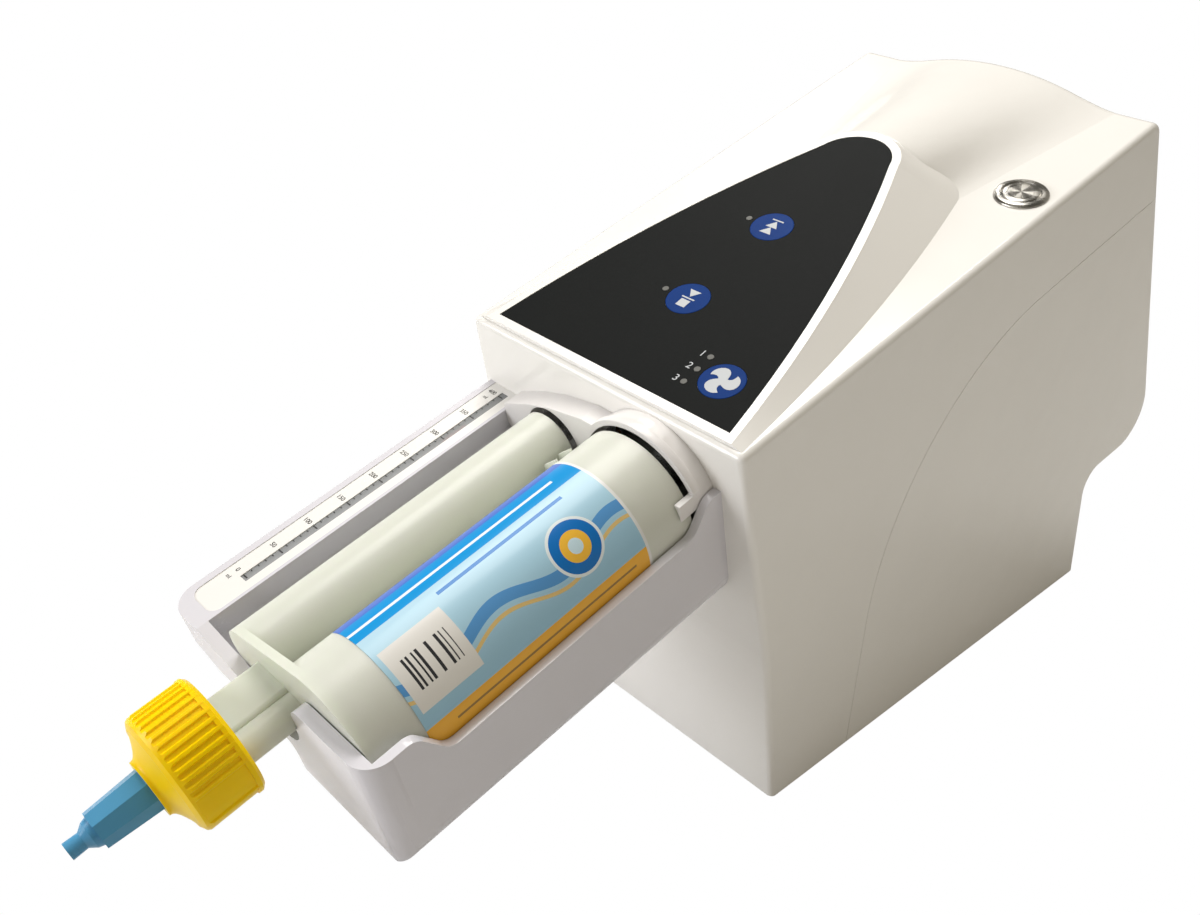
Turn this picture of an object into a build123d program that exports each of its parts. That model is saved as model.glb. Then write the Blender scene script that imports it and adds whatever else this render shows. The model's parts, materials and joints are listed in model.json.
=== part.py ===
from build123d import *
import math
import os

# Motor-driven mixer for twin-barrel impression cartridges, in millimetres.
# Row frame: +Z up, the outlet points to -Y, X = 0 is the housing's plane of symmetry.
# Most pieces lie along the feed axis, which slopes down to the front by TILT. They are drawn in
# the feed frame: x to the right, y rearwards along the feed axis, z square to it, with the
# origin on the front top edge of the housing. The housing's side profile, its base and what
# stands on it are drawn in the upright frame, which has the same origin but level axes.

# ---------------------------------------------------------------- housing
TILT = 15.0                 # feed axis and housing top, nose down
TOP_LENGTH = 306.0          # top edge, front to rear, along the slope
FRONT_HALF_WIDTH = 77.5     # half the width at the front top edge
SIDE_FLARE = 2.0            # side walls spread towards the rear, degrees
SIDE_DRAFT = 2.6            # side walls spread towards the base, degrees
WALL = 3.0                  # moulded shell thickness
EDGE_ROUND = 3.0            # rounding of the outer edges
REAR_ROUND = 7.0            # rounding of the rear top edge, with the swell on it
BASE_DROP = 203.0           # front top edge down to the underside of the base
FACE_HEIGHT = 118.0         # upper front face, square to the feed axis
BASE_FRONT = 47.0           # base front edge behind the front top edge
REAR_LEAN = 25.0            # rear face spreads backwards on the way down, degrees
BULGE_RISE = 82.0           # underside of the rear bulge over the base
BULGE_REACH = 69.2          # length of that underside, back from the lower rear wall
BASE_SPREAD = 16.0          # lower rear wall spreads backwards by this much on the way down
LEDGE_FALL = 9.0            # that underside falls by this much towards the front
BULGE_ROUND = 24.0
LEDGE_ROUND = 12.0
SEAM_FRONT = 105.0          # the joint line rises here and then follows the top
SEAM_DEPTH = 45.0           # joint line below the top, square to it
SEAM_ROUND = 143.0
SEAM_GAP = 0.3
BASE_THICK = 3.0
BASE_GAP = 0.3
FOOT_PROUD = 1.5
FOOT_RADIUS = 9.0
FOOT_INSET = 16.0

# ---------------------------------------------------------------- control panel
PANEL_RISE = 5.7            # panel is steeper than the housing top by this, degrees
PANEL_START = 1.5           # panel height over the front top edge
PANEL_FRONT = 7.0
PANEL_FRONT_HALF = 66.0
PANEL_MID = 104.0
PANEL_MID_HALF = 44.5
PANEL_END = 172.0           # centre of the rounded rear end
PANEL_END_RADIUS = 19.0
BEZEL = 4.0                 # white rim round the panel
PANEL_THICK = 1.0
PANEL_SINK = 0.2
ISLAND_BASE_FRONT_HALF = 75.0
ISLAND_BASE_MID = 92.0
ISLAND_BASE_MID_HALF = 65.5
ISLAND_BASE_END = 180.0
ISLAND_BASE_RADIUS = 46.0
HUMP_REAR_HEIGHT = 10.5
HUMP_REAR_HALF = 64.0
HUMP_FRONT_HALF = 40.0
KEY_RADIUS = 9.75
KEY_THICK = 1.1
KEY_GAP = 0.1
KEY_TRAVEL = 0.4
KEY_START_STOP = (0.0, 58.2)
KEY_REWIND = (0.0, 114.7)
KEY_SPEED = (45.2, 27.1)
LED_RADIUS = 1.4
LED_OFFSET = 12.9           # status light beside its key
SPEED_LED_OFFSET = 12.9
SPEED_LED_PITCH = 8.2
BOARD_THICK = 1.6
SWITCH_HEIGHT = 3.0

# ---------------------------------------------------------------- steel push-button
BUTTON_X = 64.7
BUTTON_Y = 212.1
BUTTON_FLANGE = 12.3
BUTTON_BODY = 11.0
BUTTON_CAP = 8.6
BUTTON_TRAVEL = 2.5
BUTTON_FLANGE_THICK = 1.8
BUTTON_DEPTH = 26.0

# ---------------------------------------------------------------- cartridge
AXIS_Z = -33.5              # barrels, outlet and mixer shaft lie in one plane
BASE_X = 32.0               # axis of the large barrel
CATALYST_X = -20.0          # axis of the small barrel
BASE_BORE = 27.4
RATIO = 5.0                 # mixing ratio, large to small
BARREL_WALL = 2.0
CATALYST_WALL = 2.25
BARREL_REAR = -13.0
BARREL_FRONT = -161.5
END_PLATE = 3.5
OUTLET_RADIUS = 6.2         # round lobe of the neck, for the large barrel
OUTLET_SHIFT = 11.65        # its axis beside the mixer shaft
OUTLET_BORE = 3.0
OUTLET_BORE_SHIFT = 10.0
CATALYST_OUTLET = 2.3
CATALYST_OUTLET_SHIFT = 8.8
NECK_LEFT = 12.4            # flat-topped lobe, beside the mixer shaft
NECK_RIGHT = 8.0
NECK_TOP = 6.6
NECK_ROUND = 2.0
NECK_TIP = 14.3             # what is left of the neck inside the nut's lips
OUTLET_LENGTH = 29.0
LABEL_THICK = 0.2
LABEL_GLUE = 0.05           # glue layer under the label
LABEL_REAR = -36.0
LABEL_FRONT = -144.0
LABEL_FROM = -30.0          # angles on the large barrel, from +x towards +z
LABEL_TO = 131.0
PISTON_LENGTH = 10.0
PISTON_CLEAR = 0.4
SEAL_CLEAR = 0.05
SEAL_WIDTH = 4.0
SEAL_DEPTH = 2.6
FULL_ML = 400.0
MM_PER_ML = 0.3433
REST_ML = 300.0             # what the pointer reads
SCALE_FULL = -5.7           # the scale's full mark

# ---------------------------------------------------------------- union nut and plug
NUT_RADIUS = 24.6
NUT_REAR = 5.0              # nut's rear rim, behind the end of the outlets
NUT_LENGTH = 24.5
NUT_WALL = 2.5
NUT_BAND = 3.0              # smooth band behind the ribs
RIB_PITCH = 8.6             # ribs of the nut, degrees
RIB_FIRST = 19.0            # first and last close rib, the same again on the far side
RIB_LAST = 127.0
RIB_LONE = -17.0            # single rib on the smooth stretch
RIB_DEPTH = 0.75
NUT_CLEAR = 0.3             # play between the nut, the plug's flange and the outlets
FLANGE_THICK = 3.0          # bayonet flange at the end of the outlets
EAR_HALF = 8.0              # its ears, and the nut's lips behind them, are this high
COLLAR_RADIUS = 19.5
COLLAR_TIP = 11.3
COLLAR_LENGTH = 5.2
PLUG_RADIUS = 8.6
PLUG_END_RADIUS = 7.4       # the plug's grip tapers to this
PLUG_CLEAR = 0.1
PLUG_LENGTH = 20.5
PLUG_FACES = 8
PLUG_STEP = 5.2
PLUG_STEP_LENGTH = 4.5
PLUG_TIP = 3.4
PLUG_TIP_LENGTH = 5.5

# ---------------------------------------------------------------- tray
TRAY_WALL = 3.2
TRAY_CLEAR = 0.5            # front wall ahead of the cartridge
TRAY_FRONT = 5.5            # thickness of that wall
RIM_Z = -34.0
RIM_LEFT = -74.5
RIM_INNER = -52.5
TRAY_RIGHT_CLEAR = 0.5
TRAY_SIDE = 3.8             # thickness of the right wall
HULL_DEPTH = 90.0
HULL_RISE = 6.0             # the underside rises by this towards the front
SHELF_Z = -58.0             # underside beneath the small barrel
TROUGH_LEFT = 1.5           # left side of the deep part under the large barrel
CORNER_TOP = -18.0          # front right corner of the tray
CORNER_LONG = 15.0          # length of that high corner behind the front wall
SCOOP_FALL = 11.0           # length of the slope down from it
TRAY_ROUND = 11.0           # upright front corners and lower front edge
RIGHT_RIM = -35.2
REAR_RIM = -23.0
CHANNEL_DEPTH = 9.0         # pointer channel in the left rim
WINDOW_LEFT = -71.2
WINDOW_RIGHT = -54.1
WINDOW_THICK = 1.6
WINDOW_SINK = 0.3
WINDOW_FRONT = -163.0
CARD_THICK = 0.4            # printed film on the window, with a clear slot
SLOT_LEFT = -63.2
SLOT_RIGHT = -58.8
SLOT_FRONT = -144.4
SLOT_REAR = -3.0
CHANNEL_LEFT = -66.5
CHANNEL_RIGHT = -56.0
CHANNEL_MARGIN = 2.0        # channel ahead of the slot
POINTER_THICK = 1.6
POINTER_LONG = 13.3
POINTER_LEFT = -63.4
POINTER_GAP = 0.6           # between the pointer and the window
NOTCH_HALF = 18.4
NOTCH_RIGHT = 20.5
SADDLE_AT = (-140.0, -40.0)
SADDLE_CLEAR = 0.2

# ---------------------------------------------------------------- seat plate behind the cartridge
SEAT_THICK = 10.8
SEAT_RADIUS = 33.0
COLLAR_FRONT = -10.8        # front face of the collar round the large barrel's end
COLLAR_DEEP = 3.8
COLLAR_NECK = 31.7
SEAT_TOP = -12.0            # upper edge at the collar
SEAT_CREST = -16.5          # upper edge over the small barrel
SEAT_LEFT_TOP = -30.0       # upper edge at the rim
SEAT_CUP = 0.8              # clearance of the recesses behind the barrels
SEAT_CUP_DEPTH = 6.5
SEAT_LIFT = 18.0            # lower edge over the tray's underside
PISTON_HOLE_CLEAR = 0.8

# ---------------------------------------------------------------- feed drive
FRONT_PLATE = 8.0           # chassis plate behind the housing's front wall
PLATE_THICK = 6.0
PLATE_HALF = 66.0
PLATE_TOP = -9.0
END_CLEAR = 6.0
CROSSHEAD_THICK = 14.0
CROSSHEAD_TOP = -18.0
CROSSHEAD_BOTTOM = -84.0
SCREW_X = 8.0
SCREW_Z = -70.0
SCREW_RADIUS = 7.0
JOURNAL_RADIUS = 5.0
BEARING_RADIUS = 12.0
RUN_CLEAR = 0.05
GUIDE_RADIUS = 6.0
GUIDE_LEFT = -40.0
GUIDE_RIGHT = 52.0
BUSH_WALL = 3.0
DISC_THICK = 6.0
DISC_CLEAR = 1.0
BASE_ROD = 9.0
CATALYST_ROD = 5.0
ROD_CLEAR = 0.6
POINTER_ROD = 1.5
POINTER_X = -60.0
POINTER_Z = -40.2
PULLEY_WIDTH = 9.0
PULLEY_GAP = 4.0
SCREW_PULLEY = 18.0
MOTOR_PULLEY = 9.0
PULLEY_DISTANCE = 46.0
BELT_THICK = 2.0
BELT_CLEAR = 0.1
FEED_MOTOR = 20.0
FEED_GEARBOX_LENGTH = 38.0
FEED_MOTOR_LENGTH = 52.0
MIXER_SHAFT = 2.1
MIXER_MOTOR = 15.0
MIXER_MOTOR_LENGTH = 48.0
MIXER_POST = 22.0
COUPLING_RADIUS = 7.0

# ---------------------------------------------------------------- electronics and fasteners
BOARD_STANDOFF = 10.0
CONTROL_BOARD = (62.0, 110.0)
CONTROL_BOARD_AT = (-43.0, 152.0)
SUPPLY = (64.0, 110.0, 38.0)
SUPPLY_AT = (40.0, 152.0)
INLET_WIDTH = 48.0
INLET_HEIGHT = 27.0
INLET_DEPTH = 32.0
INLET_RISE = 36.0           # inlet centre over the base
BOSS_RADIUS = 5.0
BOSS_HEIGHT = 26.0
BOSS_INSET = 9.0
SCREW_SHANK = 1.5
SCREW_HEAD = 2.9
SHANK_LENGTH = 14.0

cosine = math.cos(math.radians(TILT))
sine = math.sin(math.radians(TILT))
base_outer = BASE_BORE + BARREL_WALL
catalyst_bore = BASE_BORE / math.sqrt(RATIO)
catalyst_outer = catalyst_bore + CATALYST_WALL
mixer_x = (BASE_X - base_outer + CATALYST_X + catalyst_outer) / 2
base_at = (BASE_X, AXIS_Z)
catalyst_at = (CATALYST_X, AXIS_Z)
mixer_at = (mixer_x, AXIS_Z)
screw_at = (SCREW_X, SCREW_Z)
motor_at = (SCREW_X, SCREW_Z - PULLEY_DISTANCE)
guides_at = ((GUIDE_LEFT, SCREW_Z), (GUIDE_RIGHT, SCREW_Z))

cartridge_front = BARREL_FRONT - END_PLATE
outlet_tip = cartridge_front - OUTLET_LENGTH
travel_back = (FULL_ML - REST_ML) * MM_PER_ML
travel_forward = REST_ML * MM_PER_ML
piston_rear = BARREL_REAR - travel_back
disc_rear = piston_rear + DISC_THICK
crosshead_front = FRONT_PLATE + PLATE_THICK + END_CLEAR + travel_forward
crosshead_rear = crosshead_front + CROSSHEAD_THICK
rear_plate = crosshead_rear + travel_back + END_CLEAR
pulley_front = rear_plate + PLATE_THICK + PULLEY_GAP
mixer_motor_front = rear_plate + PLATE_THICK + MIXER_POST
tray_right = BASE_X + base_outer + TRAY_RIGHT_CLEAR + TRAY_SIDE
seat_bottom = -HULL_DEPTH + SEAT_LIFT
tray_front = cartridge_front - TRAY_CLEAR - TRAY_FRONT
corner_rear = tray_front + TRAY_FRONT + CORNER_LONG
floor_z = -BASE_DROP + BASE_THICK
nut_rear = outlet_tip + NUT_REAR
nut_front = nut_rear - NUT_LENGTH
collar_front = nut_front - COLLAR_LENGTH
inner_radius = NUT_RADIUS - RIB_DEPTH - NUT_WALL
plug_rear = outlet_tip - NUT_CLEAR
shoulder = plug_rear - FLANGE_THICK - NUT_CLEAR
pieces = {}


# ---------------------------------------------------------------- drawing helpers
def upright(y, z):
    """A point of the feed frame's side view, in the upright frame."""
    return (y * cosine - z * sine, y * sine + z * cosine)


rear_top = upright(TOP_LENGTH, 0)
bulge_drop = BASE_DROP - BULGE_RISE
bulge_y = rear_top[0] + (rear_top[1] + bulge_drop) * math.tan(math.radians(REAR_LEAN))
ledge_rear = bulge_y - BULGE_REACH
base_rear = ledge_rear + BASE_SPREAD


def tilted(shape):
    """Turn a piece drawn in the feed frame into the upright frame."""
    return Rotation(TILT, 0, 0) * shape


def across(y):
    """Plane square to the feed axis: sketches on it are in (x, z)."""
    return Plane(origin=(0, y, 0), x_dir=(1, 0, 0), z_dir=(0, -1, 0))


def along(section, front, rear):
    """Extrude an (x, z) section along the feed axis from front to rear."""
    return extrude(across(rear) * section, amount=rear - front)


def disc(centre, radius, inner=0.0):
    ring = Circle(radius) - Circle(inner) if inner else Circle(radius)
    return Pos(*centre) * ring


def bar(centre, radius, front, rear, inner=0.0):
    return along(disc(centre, radius, inner), front, rear)


def polygon(*points):
    return make_face(Polyline(*points, close=True))


def rounded(face, corners):
    """Round the corners of a flat outline: corners are (point, radius) pairs."""
    for point, radius in corners:
        nearest = face.vertices().sort_by_distance((*point, 0))[0]
        face = fillet(nearest, radius)
    return face


def rectangle(left, bottom, right, top):
    return Pos((left + right) / 2, (bottom + top) / 2) * Rectangle(right - left, top - bottom)


def box(left, front, bottom, right, rear, top):
    centre = ((left + right) / 2, (front + rear) / 2, (bottom + top) / 2)
    return Pos(*centre) * Box(right - left, rear - front, top - bottom)


def group(solids):
    return Compound(children=[s for shape in solids for s in shape.solids()])


def screw_hole(shank=SHANK_LENGTH, radius=SCREW_SHANK, head=SCREW_HEAD):
    """Countersunk hole with its mouth at z = 0, which a screw of the same sizes fills."""
    cone = Pos(0, 0, (head - radius) / 2) * Cone(head, radius, head - radius)
    return cone + Pos(0, 0, shank / 2) * Cylinder(radius, shank)


def screw(shank=SHANK_LENGTH):
    """Countersunk screw with its head's flat at z = 0 and its shank towards +z."""
    socket = extrude(RegularPolygon(SCREW_SHANK * 0.8, 6), SCREW_SHANK / 2)
    return screw_hole(shank) - socket


def head_screw(shank, radius, head_radius, head_height):
    """Socket head screw: head below z = 0, shank towards +z."""
    head = Pos(0, 0, -head_height / 2) * Cylinder(head_radius, head_height)
    socket = Pos(0, 0, -head_height) * extrude(RegularPolygon(radius, 6), head_height / 2)
    return head - socket + Pos(0, 0, shank / 2) * Cylinder(radius, shank)


def forwards(x, y, z):
    """Place something drawn along +z so that it points to the front from (x, y, z)."""
    return Location((x, y, z), (90, 0, 0))


def rearwards(x, y, z):
    return Location((x, y, z), (-90, 0, 0))


# ---------------------------------------------------------------- housing solids
def side_profile():
    """Outline of the housing seen from the side, in the upright frame."""
    bend = upright(0, -FACE_HEIGHT)
    outline = polygon(
        (0, 0), rear_top, (bulge_y, -bulge_drop), (ledge_rear, -bulge_drop - LEDGE_FALL),
        (base_rear, -BASE_DROP), (BASE_FRONT, -BASE_DROP), bend
    )
    corners = [((0, 0), EDGE_ROUND), ((bulge_y, -bulge_drop), BULGE_ROUND)]
    corners += [((ledge_rear, -bulge_drop - LEDGE_FALL), LEDGE_ROUND), (bend, FACE_HEIGHT)]
    return rounded(outline, corners)


def side_wall(side, inset):
    """Plane of a side wall, moved inwards by inset."""
    flare = math.tan(math.radians(SIDE_FLARE))
    draft = math.tan(math.radians(SIDE_DRAFT))
    normal = Vector(side, -flare, draft).normalized()
    return Plane(origin=Vector(side * FRONT_HALF_WIDTH, 0, 0) - normal * inset, z_dir=normal)


def housing_slab(inset=0.0):
    """The housing's body under its flat top, or its cavity for an inset of one wall."""
    outline = side_profile()
    if inset:
        outline = offset(outline, amount=-inset)
    slab = extrude(Plane.YZ * outline, amount=2 * FRONT_HALF_WIDTH, both=True)
    for side in (1, -1):
        slab = split(slab, bisect_by=side_wall(side, inset), keep=Keep.BOTTOM)
    return slab


def rounded_body():
    """The slab with the swell on its top, rounded at the rear top edge and along both sides."""
    body = housing_slab() + split(tilted(hump()), bisect_by=rear_limit(0), keep=Keep.BOTTOM)
    rear = rear_limit(0)
    top_edge = [e for e in body.edges() if e.center().Z > rear_top[1] - 1 and
                all(abs(rear.to_local_coords(e @ t).Z) < 0.01 for t in (0, 0.5, 1))]
    body = fillet(top_edge, REAR_ROUND)
    sides = [f for f in body.faces() if abs(f.normal_at().X) > 0.9]
    base_line = -BASE_DROP + 0.1
    edges = [e for f in sides for e in f.edges() if e.center().Z > base_line]
    return fillet(edges, EDGE_ROUND)


def bullet(front, front_half, mid, mid_half, end, radius):
    """Outline with a straight front, bowed sides and a round rear end, in (x, y)."""
    lean = math.radians(14)
    tangent = (radius * math.cos(lean), end + radius * math.sin(lean))
    right = ThreePointArc((front_half, front), (mid_half, mid), tangent)
    left = ThreePointArc((-tangent[0], tangent[1]), (-mid_half, mid), (-front_half, front))
    tip = ThreePointArc(tangent, (0, end + radius), (-tangent[0], tangent[1]))
    return make_face(Line((-front_half, front), (front_half, front)) + right + tip + left)


panel_plane = Plane(Location((0, 0, PANEL_START), (PANEL_RISE, 0, 0)))


def panel_outline(margin=0.0):
    return bullet(
        PANEL_FRONT - margin, PANEL_FRONT_HALF + margin,
        PANEL_MID, PANEL_MID_HALF + margin, PANEL_END, PANEL_END_RADIUS + margin,
    )


def island(inset=0.0):
    """Raised island that carries the panel, with sloping flanks."""
    top = panel_outline(BEZEL - inset)
    foot = bullet(
        PANEL_FRONT - BEZEL + inset, ISLAND_BASE_FRONT_HALF - inset,
        ISLAND_BASE_MID, ISLAND_BASE_MID_HALF - inset,
        ISLAND_BASE_END, ISLAND_BASE_RADIUS - inset,
    )
    base = Plane.XY.offset(-inset)
    block = loft([base * foot, panel_plane.offset(-inset) * top], ruled=True)
    return block + extrude(base * foot, amount=-WALL)


def hump(inset=0.0):
    """Swell that runs from the panel's rear end to the rear edge of the housing."""
    rise = math.tan(math.radians(PANEL_RISE))
    apex = PANEL_END + PANEL_END_RADIUS + BEZEL
    sections = []
    for y, height, half in (
        (PANEL_END, PANEL_START + PANEL_END * rise - 1.0, HUMP_FRONT_HALF),
        (apex, PANEL_START + apex * rise - 0.3, HUMP_FRONT_HALF + 4.0),
        (TOP_LENGTH + WALL, HUMP_REAR_HEIGHT, HUMP_REAR_HALF),
    ):
        width = half - inset
        shoulder = (0.55 * width, 0.62 * height - inset)
        curve = Spline(
            (-width, -inset), (-shoulder[0], shoulder[1]), (0, height - inset), shoulder,
            (width, -inset), tangents=[(1, 0.12), (1, -0.12)],
        )
        skirt = Polyline((width, -inset), (width, -WALL - inset), (-width, -WALL - inset),
                         (-width, -inset))
        sections.append(across(y) * make_face(curve + skirt))
    return loft(sections, ruled=True)


def rear_limit(inset):
    """Everything ahead of the housing's rear face, in the upright frame."""
    rear_top = upright(TOP_LENGTH, 0)
    lean = math.radians(REAR_LEAN)
    normal = Vector(0, math.cos(lean), math.sin(lean))
    return Plane(origin=Vector(0, *rear_top) - normal * inset, z_dir=normal)


def raised_top(inset=0.0):
    swell = split(tilted(hump(inset)), bisect_by=rear_limit(inset), keep=Keep.BOTTOM)
    return tilted(island(inset)) + swell


def seam_region(grow=0.0):
    """What belongs to the rear cover: behind the joint line and below it."""
    front = SEAM_FRONT - grow
    far = base_rear + TOP_LENGTH
    depth = SEAM_DEPTH - grow
    corner = (front, (front * sine - depth) / cosine)
    end = (far, (far * sine - depth) / cosine)
    outline = polygon(corner, end, (far, -BASE_DROP - WALL), (front, -BASE_DROP - WALL))
    outline = rounded(outline, [(corner, SEAM_ROUND)])
    return extrude(Plane.YZ * outline, amount=2 * FRONT_HALF_WIDTH, both=True)


def cavity():
    """Room inside the housing, open at the base."""
    inner = housing_slab(WALL)
    mouth = inner.faces().sort_by(Axis.Z)[0]
    return inner + extrude(mouth, amount=WALL) + raised_top(WALL)


def base_outline():
    return housing_slab(WALL).faces().sort_by(Axis.Z)[0]


def half_width_at(y, z, inset):
    """Inner half width of the housing at a point of the upright frame."""
    flare = math.tan(math.radians(SIDE_FLARE))
    draft = math.tan(math.radians(SIDE_DRAFT))
    return FRONT_HALF_WIDTH + y * flare - z * draft - inset


boss_rows = (BASE_FRONT + WALL + BOSS_INSET + 6, base_rear - WALL - BOSS_INSET - 6)
boss_half = half_width_at(BASE_FRONT, -BASE_DROP, WALL + BOSS_INSET)
boss_places = [(side * boss_half, y) for y in boss_rows for side in (1, -1)]


def screw_bosses(row):
    """Two posts beside the side walls that take the base screws."""
    made = []
    for x, y in boss_places:
        if abs(y - boss_rows[row]) > 1:
            continue
        side = 1 if x > 0 else -1
        reach = half_width_at(y, -BASE_DROP, WALL * 0.8)
        post = Pos(x, y, floor_z + BOSS_HEIGHT / 2) * Cylinder(BOSS_RADIUS, BOSS_HEIGHT)
        web = box(min(x, side * reach), y - 1.5, floor_z, max(x, side * reach), y + 1.5,
                  floor_z + BOSS_HEIGHT)
        hole = Pos(x, y, floor_z + SHANK_LENGTH / 2) * Cylinder(SCREW_SHANK, SHANK_LENGTH)
        made.append(post + web - hole)
    return made


def make_housing():
    body = rounded_body() + tilted(island())
    shell = body - cavity()
    openings = [
        bar(base_at, BASE_BORE + PISTON_HOLE_CLEAR, -WALL, FRONT_PLATE),
        bar(catalyst_at, catalyst_bore + PISTON_HOLE_CLEAR, -WALL, FRONT_PLATE),
        bar(mixer_at, MIXER_SHAFT + ROD_CLEAR, -WALL, FRONT_PLATE),
        box(POINTER_LEFT - ROD_CLEAR, -WALL, POINTER_Z - POINTER_ROD - ROD_CLEAR,
            POINTER_X + 2 * POINTER_ROD + ROD_CLEAR, FRONT_PLATE, RIM_Z - WINDOW_THICK),
        extrude(panel_plane * panel_outline(), amount=-PANEL_THICK - PANEL_SINK),
        Pos(BUTTON_X, BUTTON_Y, 0) * Cylinder(BUTTON_BODY, 3 * WALL),
    ]
    for x, y in (KEY_START_STOP, KEY_REWIND, KEY_SPEED):
        well = -PANEL_SINK - PANEL_THICK - KEY_TRAVEL - 0.1
        openings.append(extrude(panel_plane * disc((x, y), KEY_RADIUS + KEY_GAP), amount=well))
        openings.append(extrude(panel_plane * disc((x, y), 3.0), amount=-2 * WALL))
    for x, y in led_places():
        hole = disc((x, y), LED_RADIUS + KEY_GAP)
        openings.append(extrude(panel_plane * hole, amount=-2 * WALL))
    for x, z in seat_screw_places():
        openings.append(bar((x, z), SCREW_SHANK, -WALL, FRONT_PLATE))
    for x, z in tray_screw_places():
        openings.append(bar((x, z), SCREW_SHANK, -WALL, FRONT_PLATE))
    shell = shell - [tilted(cut) for cut in openings]
    front = shell - seam_region(SEAM_GAP)
    rear = shell & seam_region()
    pieces["front_shell"] = front + screw_bosses(0)
    pieces["rear_cover"] = rear + screw_bosses(1) - inlet_cut()


def inlet_frame():
    """Centre of the mains inlet on the lower rear wall, facing out along +z."""
    fall = BULGE_RISE - LEDGE_FALL
    slope = math.degrees(math.atan2(BASE_SPREAD, fall))
    y = base_rear - BASE_SPREAD * INLET_RISE / fall
    return Plane(origin=(0, y, INLET_RISE - BASE_DROP), x_dir=(1, 0, 0),
                 z_dir=(0, math.cos(math.radians(slope)), math.sin(math.radians(slope))))


def inlet_cut():
    return extrude(inlet_frame() * Rectangle(INLET_WIDTH, INLET_HEIGHT), amount=2 * WALL, both=True)


def make_base():
    outline = offset(base_outline(), amount=-BASE_GAP)
    plate = extrude(outline, amount=BASE_THICK, dir=(0, 0, -1))
    places = [(x, y, SHANK_LENGTH) for x, y in boss_places + wedge_places()]
    places += [(x, y, BOARD_STANDOFF) for x, y in board_corners() + supply_corners()]
    pieces["base_plate"] = plate - [Pos(x, y, -BASE_DROP) * screw_hole(s) for x, y, s in places]
    pieces["base_screws"] = group([Pos(x, y, -BASE_DROP) * screw(s) for x, y, s in places])
    feet = []
    for side in (1, -1):
        for y in (BASE_FRONT + FOOT_INSET + 12, base_rear - FOOT_INSET - 24):
            x = side * (boss_half - FOOT_INSET)
            foot = Pos(x, y, -BASE_DROP - FOOT_PROUD / 2) * Cylinder(FOOT_RADIUS, FOOT_PROUD)
            feet.append(chamfer(foot.edges().sort_by(Axis.Z)[0], FOOT_PROUD / 3))
    pieces["rubber_feet"] = group(feet)


# ---------------------------------------------------------------- control panel
def led_places():
    """Status lights on the panel plane: one beside each of two keys, three for the speeds."""
    single = [(x - LED_OFFSET, y) for x, y in (KEY_START_STOP, KEY_REWIND)]
    speed = [(KEY_SPEED[0] - SPEED_LED_OFFSET, KEY_SPEED[1] + n * SPEED_LED_PITCH)
             for n in (-1, 0, 1)]
    return single + speed


def make_panel():
    keys = {"key_start_stop": KEY_START_STOP, "key_rewind": KEY_REWIND, "key_speed": KEY_SPEED}
    sheet = extrude(panel_plane.offset(-PANEL_SINK) * panel_outline(-KEY_GAP), amount=-PANEL_THICK)
    for place in keys.values():
        hole = disc(place, KEY_RADIUS + KEY_GAP)
        sheet -= extrude(panel_plane * hole, amount=-2 * PANEL_THICK)
    for place in led_places():
        sheet -= extrude(panel_plane * disc(place, LED_RADIUS + KEY_GAP), amount=-2 * PANEL_THICK)
    pieces["membrane_panel"] = tilted(sheet)
    key_top = panel_plane.offset(-PANEL_SINK - PANEL_THICK + KEY_THICK)
    for name, place in keys.items():
        key = extrude(key_top * disc(place, KEY_RADIUS), amount=-KEY_THICK)
        rim = key.edges().filter_by(GeomType.CIRCLE).sort_by(Axis.Z)[-1]
        pieces[name] = tilted(fillet(rim, KEY_THICK / 4))
    board_top = panel_plane.offset(-WALL - SWITCH_HEIGHT)
    board = extrude(board_top * panel_outline(-2 * BEZEL), amount=-BOARD_THICK)
    posts = []
    for x, y in ((-45, 16), (26, 16), (-22, 130), (22, 130)):
        posts.append(extrude(board_top * disc((x, y), 2.5), amount=SWITCH_HEIGHT))
    pieces["keypad_board"] = tilted(board)
    pieces["keypad_posts"] = group([tilted(post) for post in posts])
    switches = []
    gap = KEY_TRAVEL + 0.05
    plunger = WALL + SWITCH_HEIGHT - PANEL_SINK - PANEL_THICK - gap
    for place in keys.values():
        can = extrude(board_top * (Pos(*place) * Rectangle(6, 6)), amount=SWITCH_HEIGHT * 0.8)
        pin = extrude(board_top * disc(place, 1.7), amount=plunger)
        switches.append(tilted(can + pin))
    pieces["key_switches"] = group(switches)
    lights = []
    for place in led_places():
        light = extrude(board_top * disc(place, LED_RADIUS), amount=WALL + SWITCH_HEIGHT)
        lights.append(tilted(light))
    pieces["status_leds"] = group(lights)


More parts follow.
